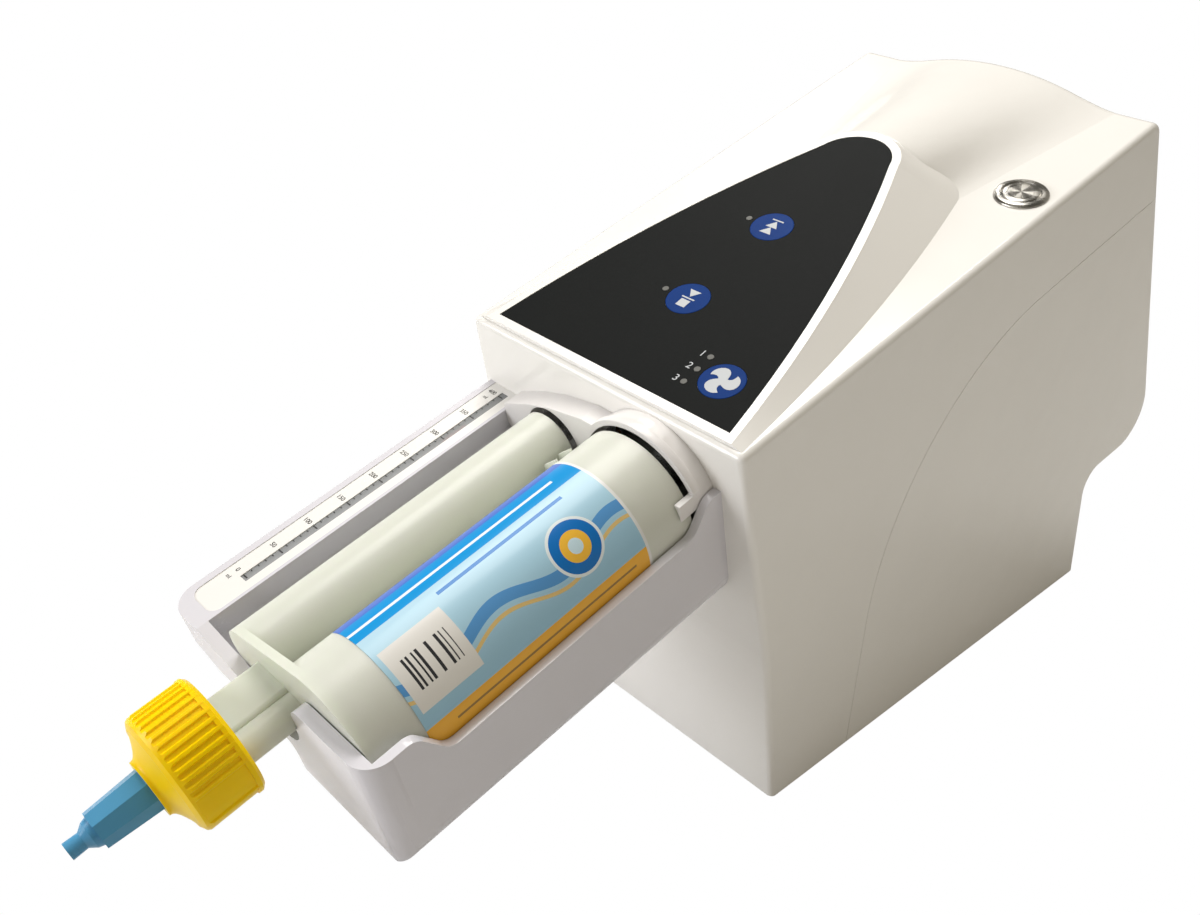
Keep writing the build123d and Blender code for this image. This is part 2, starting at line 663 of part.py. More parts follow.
def make_button():
    """Steel push-button: fixed ring and threaded body, spring-loaded cap, fixing nut."""
    at = Pos(BUTTON_X, BUTTON_Y, 0)
    ring = Pos(0, 0, BUTTON_FLANGE_THICK / 2) * Cylinder(BUTTON_FLANGE, BUTTON_FLANGE_THICK)
    ring = chamfer(ring.edges().sort_by(Axis.Z)[-1], BUTTON_FLANGE_THICK / 2)
    body = Pos(0, 0, -BUTTON_DEPTH / 2) * Cylinder(BUTTON_BODY, BUTTON_DEPTH)
    cap_bore = BUTTON_CAP + RUN_CLEAR
    well = 4 * BUTTON_TRAVEL
    bore = Pos(0, 0, (BUTTON_FLANGE_THICK - well) / 2) * Cylinder(cap_bore, well + BUTTON_FLANGE_THICK)
    cap_length = 2 * BUTTON_TRAVEL
    cap = Pos(0, 0, BUTTON_FLANGE_THICK - cap_length / 2) * Cylinder(BUTTON_CAP, cap_length)
    cap = fillet(cap.edges().sort_by(Axis.Z)[-1], 0.6)
    pieces["power_button_body"] = tilted(at * (ring + body - bore))
    pieces["power_button_cap"] = tilted(at * cap)
    room = well - cap_length + BUTTON_FLANGE_THICK
    coil = Pos(0, 0, -well + room / 2) * (Cylinder(4.5, room) - Cylinder(3.5, room))
    pieces["power_button_spring"] = tilted(at * coil)
    nut = RegularPolygon(BUTTON_BODY + 3.5, 6) - Circle(BUTTON_BODY)
    pieces["power_button_nut"] = tilted(at * Pos(0, 0, -WALL) * extrude(nut, amount=-3.0))


# ---------------------------------------------------------------- cartridge
def pair_hull(grow=0.0):
    """Outline round both barrels, in (x, z)."""
    big = disc(base_at, base_outer + grow)
    small = disc(catalyst_at, catalyst_outer + grow)
    return make_hull(big.edges() + small.edges())


def make_cartridge():
    outer = disc(base_at, base_outer) + disc(catalyst_at, catalyst_outer)
    body = along(outer, BARREL_FRONT, BARREL_REAR)
    body += along(pair_hull(), cartridge_front, BARREL_FRONT)
    slab = rectangle(mixer_x - NECK_LEFT, AXIS_Z - NECK_TOP, mixer_x + NECK_RIGHT, AXIS_Z + NECK_TOP)
    neck = fillet(slab.vertices(), NECK_ROUND) + disc((mixer_x + OUTLET_SHIFT, AXIS_Z), OUTLET_RADIUS)
    body += along(neck, nut_rear, cartridge_front)
    body += along(neck & disc(mixer_at, NECK_TIP), outlet_tip, nut_rear)
    ears = disc(mixer_at, inner_radius - 3.0)
    ears &= rectangle(mixer_x - NUT_RADIUS, AXIS_Z - EAR_HALF, mixer_x + NUT_RADIUS, AXIS_Z + EAR_HALF)
    body += along(ears, outlet_tip, outlet_tip + FLANGE_THICK)
    for y in (BARREL_REAR - 8, BARREL_REAR - 16):
        fin = polygon((mixer_x - 4, AXIS_Z), (mixer_x + 6, AXIS_Z), (mixer_x + 4, AXIS_Z + 13),
                      (mixer_x - 4, AXIS_Z + 6))
        body += along(fin, y, y + 1.5)
        body += along(rectangle(mixer_x - 5, AXIS_Z - 12, mixer_x + 6, AXIS_Z - 6), y, y + 1.5)
    bores = [
        bar(base_at, BASE_BORE, BARREL_FRONT, BARREL_REAR),
        bar(catalyst_at, catalyst_bore, BARREL_FRONT, BARREL_REAR),
        bar(mixer_at, MIXER_SHAFT + ROD_CLEAR / 2, outlet_tip - 20, BARREL_REAR),
    ]
    for shift, bore in ((OUTLET_BORE_SHIFT, OUTLET_BORE), (-CATALYST_OUTLET_SHIFT, CATALYST_OUTLET)):
        bores.append(bar((mixer_x + shift, AXIS_Z), bore, outlet_tip - 1, BARREL_FRONT))
    pieces["cartridge_body"] = tilted(body - bores)
    low, high = math.radians(LABEL_FROM), math.radians(LABEL_TO)
    middle = (low + high) / 2

    def on_barrel(radius, angle):
        return (BASE_X + radius * math.cos(angle), AXIS_Z + radius * math.sin(angle))

    inner = base_outer + LABEL_GLUE
    skin = inner + LABEL_THICK
    edge = ThreePointArc(on_barrel(skin, low), on_barrel(skin, middle), on_barrel(skin, high))
    back = ThreePointArc(on_barrel(inner, high), on_barrel(inner, middle), on_barrel(inner, low))
    ends = [Line(on_barrel(skin, high), on_barrel(inner, high)),
            Line(on_barrel(inner, low), on_barrel(skin, low))]
    label = make_face(edge + ends[0] + back + ends[1])
    pieces["cartridge_label"] = tilted(along(label, LABEL_FRONT, LABEL_REAR))


def make_piston(centre, bore):
    front = piston_rear - PISTON_LENGTH
    radius = bore - PISTON_CLEAR
    groove_front = front + (PISTON_LENGTH - SEAL_WIDTH) / 2
    groove_rear = groove_front + SEAL_WIDTH
    cup = bar(centre, radius * 0.7, piston_rear - PISTON_LENGTH / 2, piston_rear)
    groove = bar(centre, bore, groove_front, groove_rear, bore - SEAL_DEPTH)
    seal = bar(centre, bore - SEAL_CLEAR, groove_front, groove_rear, bore - SEAL_DEPTH)
    return tilted(bar(centre, radius, front, piston_rear) - cup - groove), tilted(seal)


def make_pistons():
    pieces["base_piston"], base_seal = make_piston(base_at, BASE_BORE)
    pieces["catalyst_piston"], catalyst_seal = make_piston(catalyst_at, catalyst_bore)
    pieces["piston_seals"] = group([base_seal, catalyst_seal])


def nut_outline():
    """Outline of the nut in (x, z): close ribs on two sides, a lone rib between them."""
    ribs = [RIB_LONE]
    while RIB_FIRST + (len(ribs) - 1) * RIB_PITCH < RIB_LAST:
        ribs.append(RIB_FIRST + (len(ribs) - 1) * RIB_PITCH)
    valley = NUT_RADIUS - RIB_DEPTH
    shape = disc(mixer_at, valley)
    for angle in ribs + [rib + 180 for rib in ribs]:
        points = []
        for turn, radius in ((-3.6, valley - 0.5), (-1.3, NUT_RADIUS), (1.3, NUT_RADIUS), (3.6, valley - 0.5)):
            at = math.radians(angle + turn)
            points.append((mixer_x + radius * math.cos(at), AXIS_Z + radius * math.sin(at)))
        shape += polygon(*points, mixer_at)
    return shape


def make_nut():
    core = along(nut_outline(), nut_front, nut_rear)
    core += bar(mixer_at, NUT_RADIUS - 0.1, nut_rear - NUT_BAND, nut_rear)
    trim = revolve(
        Plane.XY * polygon((0, 0), (NUT_RADIUS - 4.0, 0), (NUT_RADIUS - 1.4, 1.3), (NUT_RADIUS, 3.6),
                           (NUT_RADIUS + 0.5, 6),
                           (NUT_RADIUS + 0.5, NUT_LENGTH - 2), (NUT_RADIUS - 1.5, NUT_LENGTH),
                           (0, NUT_LENGTH)),
        axis=Axis.Y,
    )
    core &= Pos(mixer_x, nut_front, AXIS_Z) * trim
    flare = Spline((COLLAR_RADIUS, 0), (COLLAR_TIP + 1.5, -COLLAR_LENGTH * 0.55),
                   (COLLAR_TIP, -COLLAR_LENGTH), tangents=[(-1, -0.35), (0, -1)])
    edges = Line((0, 0.0), (COLLAR_RADIUS, 0)) + flare
    edges += Polyline((COLLAR_TIP, -COLLAR_LENGTH), (0, -COLLAR_LENGTH), (0, 0.0))
    collar = Pos(mixer_x, nut_front, AXIS_Z) * revolve(make_face(edges), axis=Axis.Y)
    cut = bar(mixer_at, inner_radius, shoulder, nut_rear)
    cut += bar(mixer_at, PLUG_RADIUS + PLUG_CLEAR, collar_front, shoulder)
    lip_front = outlet_tip + FLANGE_THICK + NUT_CLEAR
    lip = bar(mixer_at, inner_radius + NUT_WALL / 2, lip_front, nut_rear,
              NECK_TIP + NUT_CLEAR)
    lip &= along(
        rectangle(mixer_x - NUT_RADIUS, AXIS_Z - EAR_HALF, mixer_x + NUT_RADIUS, AXIS_Z + EAR_HALF),
        lip_front, nut_rear,
    )
    pieces["union_nut"] = tilted(core + collar - cut + lip)
    plug_front = collar_front - PLUG_LENGTH
    plug = bar(mixer_at, inner_radius - 0.5, shoulder + NUT_CLEAR, plug_rear)
    plug += bar(mixer_at, PLUG_RADIUS, collar_front, shoulder + NUT_CLEAR)
    grip = [across(y) * (Pos(*mixer_at) * RegularPolygon(radius, PLUG_FACES, rotation=TILT))
            for y, radius in ((plug_front, PLUG_END_RADIUS), (collar_front, PLUG_RADIUS))]
    plug += loft(grip, ruled=True)
    profile = polygon((0, 0.0), (PLUG_STEP + 0.6, 0.0), (PLUG_STEP, -PLUG_STEP_LENGTH * 0.45),
                      (PLUG_TIP - 0.2, -PLUG_STEP_LENGTH), (PLUG_TIP, -PLUG_STEP_LENGTH - PLUG_TIP_LENGTH),
                      (0, -PLUG_STEP_LENGTH - PLUG_TIP_LENGTH))
    plug += Pos(mixer_x, plug_front, AXIS_Z) * revolve(profile, axis=Axis.Y)
    plug -= bar(mixer_at, MIXER_SHAFT + 1, shoulder - 2, plug_rear)
    pieces["outlet_plug"] = tilted(plug)


# ---------------------------------------------------------------- tray and scale
def tray_hull(top, rise=0.0):
    """Outer section of the tray: flared left rim, shelf under the small barrel, deep right part."""
    low = -HULL_DEPTH + rise
    outline = polygon(
        (RIM_LEFT, top), (RIM_LEFT, RIM_Z - 7), (RIM_LEFT + 8, RIM_Z - 16), (RIM_LEFT + 24, SHELF_Z),
        (TROUGH_LEFT, SHELF_Z), (TROUGH_LEFT, low), (TROUGH_LEFT + 18, low - 1),
        (tray_right - 20, low + 3), (tray_right, low + 9), (tray_right, top),
    )
    corners = [((RIM_LEFT, RIM_Z - 7), 4), ((RIM_LEFT + 24, SHELF_Z), 12), ((TROUGH_LEFT, SHELF_Z), 5),
               ((TROUGH_LEFT, low), 10), ((tray_right, low + 9), 13)]
    return rounded(outline, corners)


def tray_room(rise=0.0):
    """Inner section, one wall inside the outer one."""
    left, right = RIM_INNER, tray_right - TRAY_SIDE
    shelf, side, low = SHELF_Z + TRAY_WALL, TROUGH_LEFT + TRAY_WALL, -HULL_DEPTH + rise + TRAY_WALL
    outline = polygon(
        (left, 5), (left, RIM_Z - 10), (left + 7, shelf), (side, shelf), (side, low),
        (TROUGH_LEFT + 18, low - 1), (tray_right - 20, low + 3), (right, low + 9), (right, 5),
    )
    return rounded(outline, [((left + 7, shelf), 6), ((side, shelf), 8), ((side, low), 7),
                             ((right, low + 9), 10)])


def sloped(section, front, rear, *args):
    """Solid between a section at the rear of the tray and the same one, raised, at its front."""
    rise = HULL_RISE / -tray_front
    ends = [across(y) * section(*args, -y * rise) for y in (front, rear)]
    return loft(ends, ruled=True)


def make_tray():
    left, right = RIM_INNER, tray_right - TRAY_SIDE
    floor = -HULL_DEPTH + TRAY_WALL
    room = tray_room()
    tray = sloped(tray_hull, tray_front, 0, CORNER_TOP + 2)
    plan = rounded(rectangle(RIM_LEFT, tray_front, tray_right, 0),
                   [((RIM_LEFT, tray_front), TRAY_ROUND), ((tray_right, tray_front), TRAY_ROUND)])
    tray &= extrude(Plane.XY.offset(-2 * HULL_DEPTH) * plan, amount=3 * HULL_DEPTH)
    low = HULL_RISE - HULL_DEPTH - 1
    side = rounded(polygon((tray_front, low), (0, -HULL_DEPTH - 1), (0, 20), (tray_front, 20)),
                   [((tray_front, low), TRAY_ROUND)])
    tray &= extrude(Plane.YZ * side, amount=2 * FRONT_HALF_WIDTH, both=True)
    tray -= along(rectangle(RIM_LEFT - 1, RIM_Z, left, 5), tray_front - 1, 1)
    hollow = sloped(tray_room, tray_front + TRAY_FRONT, 1)
    tray -= hollow
    step = 7.0
    above = polygon(
        (tray_front - 20, 20), (tray_front - 20, CORNER_TOP), (corner_rear, CORNER_TOP),
        (corner_rear + SCOOP_FALL, RIGHT_RIM), (-17, RIGHT_RIM), (-7, REAR_RIM), (5, REAR_RIM), (5, 20),
    )
    above = rounded(above, [((corner_rear, CORNER_TOP), step), ((corner_rear + SCOOP_FALL, RIGHT_RIM), step),
                            ((-17, RIGHT_RIM), step), ((-7, REAR_RIM), step)])
    tray -= Pos(right - TRAY_WALL, 0, 0) * extrude(Plane.YZ * above, amount=4 * TRAY_WALL)
    notch_left, notch_right = mixer_x - NOTCH_HALF, mixer_x + NOTCH_RIGHT
    front_top = polygon((left, 20), (left, RIM_Z), (notch_left, RIM_Z - 9), (mixer_x, RIM_Z - 9),
                        (mixer_x, 20))
    front_top += rectangle(mixer_x, AXIS_Z, notch_right, 20) + disc(mixer_at, NOTCH_HALF)
    front_top += rectangle(notch_right, CORNER_TOP, tray_right + 1, 20)
    front_top = rounded(front_top, [((notch_right, CORNER_TOP), 9)])
    tray -= along(front_top, tray_front - 1, tray_front + TRAY_FRONT + 0.01)
    channel = rectangle(CHANNEL_LEFT, RIM_Z - CHANNEL_DEPTH, CHANNEL_RIGHT, RIM_Z + 1)
    tray -= along(channel, SLOT_FRONT - CHANNEL_MARGIN, 1)
    pocket = -WINDOW_THICK - CARD_THICK - WINDOW_SINK
    tray -= extrude(Plane.XY.offset(RIM_Z) * window_outline(), amount=pocket)
    for y in SADDLE_AT:
        plate = sloped(tray_room, y, y + TRAY_WALL)
        plate &= along(rectangle(left - 1, floor - 3, right + 1, AXIS_Z - 12), y, y + TRAY_WALL)
        plate -= bar(base_at, base_outer + SADDLE_CLEAR, y - 1, y + TRAY_WALL + 1)
        plate -= bar(catalyst_at, catalyst_outer + SADDLE_CLEAR, y - 1, y + TRAY_WALL + 1)
        plate -= bar(mixer_at, MIXER_SHAFT + 4 * ROD_CLEAR, y - 1, y + TRAY_WALL + 1)
        tray += plate
    flange = along(room & rectangle(left, floor - 3, right + 1, seat_bottom - 0.5), -TRAY_WALL, 0)
    tray += flange
    places = [rearwards(x, -TRAY_WALL, z) for x, z in tray_screw_places()]
    pieces["tray"] = tilted(tray - [place * screw_hole() for place in places])
    pieces["tray_screws"] = group([tilted(place * screw()) for place in places])


def tray_screw_places():
    z = (seat_bottom - HULL_DEPTH + TRAY_WALL) / 2
    return [(BASE_X - 8, z), (BASE_X + 8, z)]


def window_outline():
    outline = rectangle(WINDOW_LEFT, WINDOW_FRONT, WINDOW_RIGHT, 0)
    return rounded(outline, [((WINDOW_LEFT, WINDOW_FRONT), 5), ((WINDOW_RIGHT, WINDOW_FRONT), 5)])


def make_scale():
    """Printed film with a clear slot on a window strip, and the pointer in the channel below."""
    film_top = RIM_Z - WINDOW_SINK
    window_low = film_top - CARD_THICK - WINDOW_THICK
    film = extrude(Plane.XY.offset(film_top) * window_outline(), amount=-CARD_THICK)
    film -= box(SLOT_LEFT, SLOT_FRONT, window_low, SLOT_RIGHT, SLOT_REAR, film_top + 1)
    pieces["scale_card"] = tilted(film)
    window_plane = Plane.XY.offset(film_top - CARD_THICK)
    pieces["scale_window"] = tilted(extrude(window_plane * window_outline(), amount=-WINDOW_THICK))
    front = SCALE_FULL - travel_back
    rear = front + POINTER_LONG
    top = window_low - POINTER_GAP
    flag = box(POINTER_LEFT, front, top - POINTER_THICK, POINTER_X + 2 * POINTER_ROD, rear, top)
    flag += box(POINTER_X - POINTER_ROD, front, POINTER_Z - POINTER_ROD, POINTER_X + POINTER_ROD,
                rear, top)
    rod = bar((POINTER_X, POINTER_Z), POINTER_ROD, rear, crosshead_front)
    pieces["pointer"] = tilted(flag)
    pieces["pointer_rod"] = tilted(rod)


# ---------------------------------------------------------------- seat plate
def seat_screw_places():
    return [(RIM_INNER + 12.5, RIM_Z - 14), (TROUGH_LEFT + 10, seat_bottom + 5),
            (BASE_X + 22, seat_bottom + 7)]


def make_seat():
    left = RIM_INNER + 0.3
    right = tray_right - TRAY_SIDE - 0.3
    shelf, side = SHELF_Z + TRAY_WALL + 0.3, TROUGH_LEFT + TRAY_WALL + 0.3
    block = polygon(
        (left, SEAT_LEFT_TOP), (left, RIM_Z - 7), (left + 11, shelf), (side, shelf), (side, seat_bottom),
        (right - 4, seat_bottom), (right, seat_bottom + 10), (right, AXIS_Z), (BASE_X, SEAT_TOP),
        (mixer_x + 2, SEAT_TOP), (CATALYST_X, SEAT_CREST), (CATALYST_X - 14, SEAT_CREST - 5),
    )
    inside = rectangle(-FRONT_HALF_WIDTH, seat_bottom, right, 10)
    seat = along(block + (disc(base_at, COLLAR_NECK) & inside), -SEAT_THICK, 0)
    ring = along(disc(base_at, SEAT_RADIUS) & inside, COLLAR_FRONT, COLLAR_FRONT + COLLAR_DEEP)
    seat += ring
    tab = disc(base_at, SEAT_RADIUS, base_outer + 0.5)
    tab &= rectangle(BASE_X, AXIS_Z + 3, right, AXIS_Z + 14)
    seat += along(tab, BARREL_REAR - 6, COLLAR_FRONT)
    seat -= bar(base_at, BASE_BORE + PISTON_HOLE_CLEAR, -2 * SEAT_THICK, 1)
    seat -= bar(catalyst_at, catalyst_bore + PISTON_HOLE_CLEAR, -2 * SEAT_THICK, 1)
    seat -= bar(mixer_at, MIXER_SHAFT + ROD_CLEAR, -2 * SEAT_THICK, 1)
    for at, radius in ((base_at, base_outer), (catalyst_at, catalyst_outer)):
        seat -= bar(at, radius + SEAT_CUP, -2 * SEAT_THICK, SEAT_CUP_DEPTH - SEAT_THICK)
    places = [rearwards(x, -SEAT_THICK, z) for x, z in seat_screw_places()]
    shank = SEAT_THICK + 2 * WALL
    pieces["seat_plate"] = tilted(seat - [place * screw_hole(shank) for place in places])
    pieces["seat_screws"] = group([tilted(place * screw(shank)) for place in places])


# ---------------------------------------------------------------- chassis and feed
def chassis_plate(front):
    """Upright plate square to the feed axis that stands on the base plate."""
    deep = (BASE_DROP + TOP_LENGTH) / cosine
    plate = along(rectangle(-PLATE_HALF, -deep, PLATE_HALF, PLATE_TOP), front, front + PLATE_THICK)
    floor = Plane(origin=(0, 0, floor_z), z_dir=(0, 0, 1))
    return split(tilted(plate), bisect_by=floor, keep=Keep.TOP)


def foot_y(y):
    """Where a plane square to the feed axis meets the floor, in the upright frame."""
    z = (floor_z - y * sine) / cosine
    return upright(y, z)[0]


WEDGE = 24.0
WEDGE_WIDTH = 18.0
wedge_rows = [foot_y(FRONT_PLATE + PLATE_THICK), foot_y(rear_plate + PLATE_THICK)]


def wedge_places():
    half = PLATE_HALF - WEDGE_WIDTH
    return [(x, y + WEDGE * 0.6) for y in wedge_rows for x in (half, -half)]


def make_chassis():
    front = chassis_plate(FRONT_PLATE)
    rear = chassis_plate(rear_plate)
    front_end, rear_end = FRONT_PLATE + PLATE_THICK, rear_plate + PLATE_THICK
    front -= [
        tilted(bar(base_at, BASE_ROD + ROD_CLEAR, FRONT_PLATE, front_end)),
        tilted(bar(catalyst_at, CATALYST_ROD + ROD_CLEAR, FRONT_PLATE, front_end)),
        tilted(bar((POINTER_X, POINTER_Z), POINTER_ROD + ROD_CLEAR, FRONT_PLATE, front_end)),
        tilted(bar(mixer_at, MIXER_SHAFT + 2 + RUN_CLEAR, FRONT_PLATE, front_end)),
        tilted(bar(screw_at, BEARING_RADIUS, FRONT_PLATE, front_end)),
    ]
    rear -= [
        tilted(bar(mixer_at, MIXER_SHAFT + 2 + RUN_CLEAR, rear_plate, rear_end)),
        tilted(bar(screw_at, BEARING_RADIUS, rear_plate, rear_end)),
        tilted(bar(motor_at, JOURNAL_RADIUS + ROD_CLEAR, rear_plate, rear_end)),
    ]
    for x, z in seat_screw_places() + tray_screw_places():
        front -= tilted(bar((x, z), SCREW_SHANK, FRONT_PLATE, front_end))
    for place in guides_at:
        front -= tilted(bar(place, GUIDE_RADIUS, FRONT_PLATE, front_end))
        rear -= tilted(bar(place, GUIDE_RADIUS, rear_plate, rear_end))
    pieces["chassis_front_plate"] = front
    pieces["chassis_rear_plate"] = rear
    rods = [tilted(bar(place, GUIDE_RADIUS, FRONT_PLATE, rear_end)) for place in guides_at]
    pieces["guide_rods"] = group(rods)
    wedges = []
    lean = math.tan(math.radians(TILT))
    for y in wedge_rows:
        outline = polygon((y, floor_z), (y - WEDGE * lean, floor_z + WEDGE),
                          (y - WEDGE * lean + 5, floor_z + WEDGE), (y + WEDGE, floor_z + 5),
                          (y + WEDGE, floor_z))
        for side in (1, -1):
            x = side * (PLATE_HALF - WEDGE_WIDTH)
            block = extrude(Plane.YZ * outline, amount=WEDGE_WIDTH / 2, both=True)
            hole = Pos(x, y + WEDGE * 0.6, floor_z + SHANK_LENGTH / 2) * Cylinder(
                SCREW_SHANK, SHANK_LENGTH)
            wedges.append(Pos(x, 0, 0) * block - hole)
    pieces["chassis_brackets"] = group(wedges)
    bearings = []
    for front_of in (FRONT_PLATE, rear_plate):
        ring = bar(screw_at, BEARING_RADIUS, front_of, front_of + PLATE_THICK, JOURNAL_RADIUS + RUN_CLEAR)
        bearings.append(tilted(ring))
    pieces["screw_bearings"] = group(bearings)
    bushes = []
    for front_of in (FRONT_PLATE, rear_plate):
        ring = bar(mixer_at, MIXER_SHAFT + 2 + RUN_CLEAR, front_of, front_of + PLATE_THICK,
                   MIXER_SHAFT + RUN_CLEAR)
        bushes.append(tilted(ring))
    pieces["mixer_bushes"] = group(bushes)


def make_feed():
    left = POINTER_X - 6
    plate = along(
        rounded(rectangle(left, CROSSHEAD_BOTTOM, PLATE_HALF, CROSSHEAD_TOP),
                [((left, CROSSHEAD_BOTTOM), 12), ((PLATE_HALF, CROSSHEAD_BOTTOM), 12),
                 ((PLATE_HALF, CROSSHEAD_TOP), 12)]),
        crosshead_front, crosshead_rear,
    )
    nut_radius = SCREW_RADIUS + 4
    screw_bore = SCREW_RADIUS + RUN_CLEAR
    plate -= bar(screw_at, nut_radius, crosshead_front, crosshead_rear)
    plate -= bar(mixer_at, MIXER_SHAFT + 2 * ROD_CLEAR, crosshead_front, crosshead_rear)
    for place in guides_at:
        plate -= bar(place, GUIDE_RADIUS + BUSH_WALL, crosshead_front, crosshead_rear)
    rods = []
    fixings = []
    for name, place, radius, bore in (
        ("base", base_at, BASE_ROD, BASE_BORE), ("catalyst", catalyst_at, CATALYST_ROD, catalyst_bore)
    ):
        fixing = head_screw(20.0, radius / 3, radius * 0.75, 4.0)
        fixing = forwards(place[0], crosshead_rear, place[1]) * fixing
        disc_front = piston_rear
        rod = bar(place, radius, disc_rear, crosshead_front)
        rod -= bar(place, radius / 3, crosshead_rear - 20.0, crosshead_front)
        plate -= bar(place, radius / 3, crosshead_front, crosshead_rear)
        pusher = bar(place, bore - DISC_CLEAR, disc_front, disc_rear)
        pusher = chamfer(pusher.edges().sort_by(Axis.Y)[-1], 1.0)
        pieces[name + "_plunger"] = tilted(pusher)
        pieces[name + "_plunger_rod"] = tilted(rod)
        rods.append(rod)
        fixings.append(tilted(fixing))
    pieces["crosshead"] = tilted(plate)
    pieces["rod_screws"] = group(fixings)
    nut = bar(screw_at, nut_radius, crosshead_front, crosshead_rear, screw_bore)
    nut += bar(screw_at, nut_radius + 3, crosshead_rear, crosshead_rear + 3, screw_bore)
    pieces["feed_nut"] = tilted(nut)
    bushes = [bar(place, GUIDE_RADIUS + BUSH_WALL, crosshead_front, crosshead_rear,
                  GUIDE_RADIUS + RUN_CLEAR) for place in guides_at]
    pieces["guide_bushes"] = group([tilted(bush) for bush in bushes])


def belt_loop(grow):
    """Outline of the belt round both pulleys, grown outwards from the pulley rims."""
    big = disc(screw_at, SCREW_PULLEY + grow)
    small = disc(motor_at, MOTOR_PULLEY + grow)
    return make_hull(big.edges() + small.edges())


def make_drive():
    plate_end = rear_plate + PLATE_THICK
    pulley_rear = pulley_front + PULLEY_WIDTH
    start = FRONT_PLATE + PLATE_THICK + 1
    spindle = bar(screw_at, SCREW_RADIUS, start, rear_plate - 1)
    spindle += bar(screw_at, JOURNAL_RADIUS, FRONT_PLATE, pulley_rear)
    pieces["lead_screw"] = tilted(spindle)
    pulley = bar(screw_at, SCREW_PULLEY, pulley_front, pulley_rear, JOURNAL_RADIUS)
    pieces["screw_pulley"] = tilted(pulley)
    small = bar(motor_at, MOTOR_PULLEY, pulley_front, pulley_rear)
    small += bar(motor_at, JOURNAL_RADIUS, rear_plate + 1, pulley_front)
    pieces["motor_pulley"] = tilted(small)
    belt = belt_loop(BELT_CLEAR + BELT_THICK) - belt_loop(BELT_CLEAR)
    pieces["drive_belt"] = tilted(along(belt, pulley_front + 1, pulley_rear - 1))
    gearbox_front = rear_plate - FEED_GEARBOX_LENGTH
    gearbox = bar(motor_at, FEED_MOTOR, gearbox_front, rear_plate)
    can = bar(motor_at, FEED_MOTOR - 1.5, gearbox_front - FEED_MOTOR_LENGTH, gearbox_front)
    can = chamfer(can.edges().sort_by(Axis.Y)[0], 2.0)
    pieces["feed_gearbox"] = tilted(gearbox)
    pieces["feed_motor"] = tilted(can)
    motor = bar(mixer_at, MIXER_MOTOR, mixer_motor_front, mixer_motor_front + MIXER_MOTOR_LENGTH)
    motor = chamfer(motor.edges().sort_by(Axis.Y)[-1], 2.0)
    pieces["mixer_motor"] = tilted(motor)
    posts = []
    for turn in (45, 135, 225, 315):
        x = mixer_x + (MIXER_MOTOR - 3) * math.cos(math.radians(turn))
        z = AXIS_Z + (MIXER_MOTOR - 3) * math.sin(math.radians(turn))
        posts.append(tilted(bar((x, z), 2.5, plate_end, mixer_motor_front)))
    pieces["mixer_motor_posts"] = group(posts)
    coupling_front, coupling_rear = plate_end + 2, mixer_motor_front - 1
    pieces["mixer_coupling"] = tilted(
        bar(mixer_at, COUPLING_RADIUS, coupling_front, coupling_rear, MIXER_SHAFT))
    shaft = bar(mixer_at, MIXER_SHAFT, outlet_tip + 2, coupling_rear)
    pieces["mixer_shaft"] = tilted(shaft)


# ---------------------------------------------------------------- electronics
def board_corners():
    half_x, half_y = CONTROL_BOARD[0] / 2 - 5, CONTROL_BOARD[1] / 2 - 5
    return [(CONTROL_BOARD_AT[0] + sx * half_x, CONTROL_BOARD_AT[1] + sy * half_y)
            for sx in (1, -1) for sy in (1, -1)]


def supply_corners():
    half_x, half_y = SUPPLY[0] / 2 - 6, SUPPLY[1] / 2 - 6
    return [(SUPPLY_AT[0] + sx * half_x, SUPPLY_AT[1] + sy * half_y)
            for sx, sy in ((1, 1), (-1, -1))]


def make_electronics():
    standoffs = []
    for x, y in board_corners():
        post = Pos(x, y, floor_z + BOARD_STANDOFF / 2) * Cylinder(3.2, BOARD_STANDOFF)
        standoffs.append(post - Pos(x, y, floor_z) * Cylinder(SCREW_SHANK, 2 * BOARD_STANDOFF - 2 * BASE_THICK))
    pieces["board_standoffs"] = group(standoffs)
    bottom = floor_z + BOARD_STANDOFF
    at_x, at_y = CONTROL_BOARD_AT
    board = Pos(at_x, at_y, bottom + BOARD_THICK / 2) * Box(*CONTROL_BOARD, BOARD_THICK)
    top = bottom + BOARD_THICK
    board += box(at_x - 18, at_y - 40, top, at_x + 6, at_y - 16, top + 9)
    board += box(at_x - 10, at_y + 5, top, at_x + 10, at_y + 25, top + 3)
    for n in range(3):
        board += Pos(at_x + 20, at_y - 25 + 14 * n, top + 7) * Cylinder(5, 14)
    pieces["control_board"] = board
    width, depth, height = SUPPLY
    can = Pos(*SUPPLY_AT, floor_z + height / 2) * Box(width, depth, height)
    can = fillet(can.edges().filter_by(Axis.Z), 2.0)
    for x, y in supply_corners():
        can -= Pos(x, y, floor_z) * Cylinder(SCREW_SHANK, 2 * BOARD_STANDOFF - 2 * BASE_THICK)
    pieces["power_supply"] = can
    frame = inlet_frame()
    body = extrude(frame.offset(-INLET_DEPTH) * Rectangle(INLET_WIDTH, INLET_HEIGHT), amount=INLET_DEPTH)
    flange = extrude(frame * RectangleRounded(INLET_WIDTH + 8, INLET_HEIGHT + 6, 3), amount=2.0)
    socket = extrude(frame.offset(2.0) * RectangleRounded(26, 18, 4), amount=-18.0)
    pins = [extrude(frame.offset(-16.0) * Pos(x, z) * Rectangle(2, 4), amount=12.0)
            for x, z in ((-7, -2.5), (0, 3), (7, -2.5))]
    pieces["mains_inlet"] = body + flange - socket + pins


make_housing()
make_base()
make_panel()
make_button()
make_cartridge()
make_pistons()
make_nut()
make_tray()
make_scale()
make_seat()
make_chassis()
make_feed()
make_drive()
make_electronics()

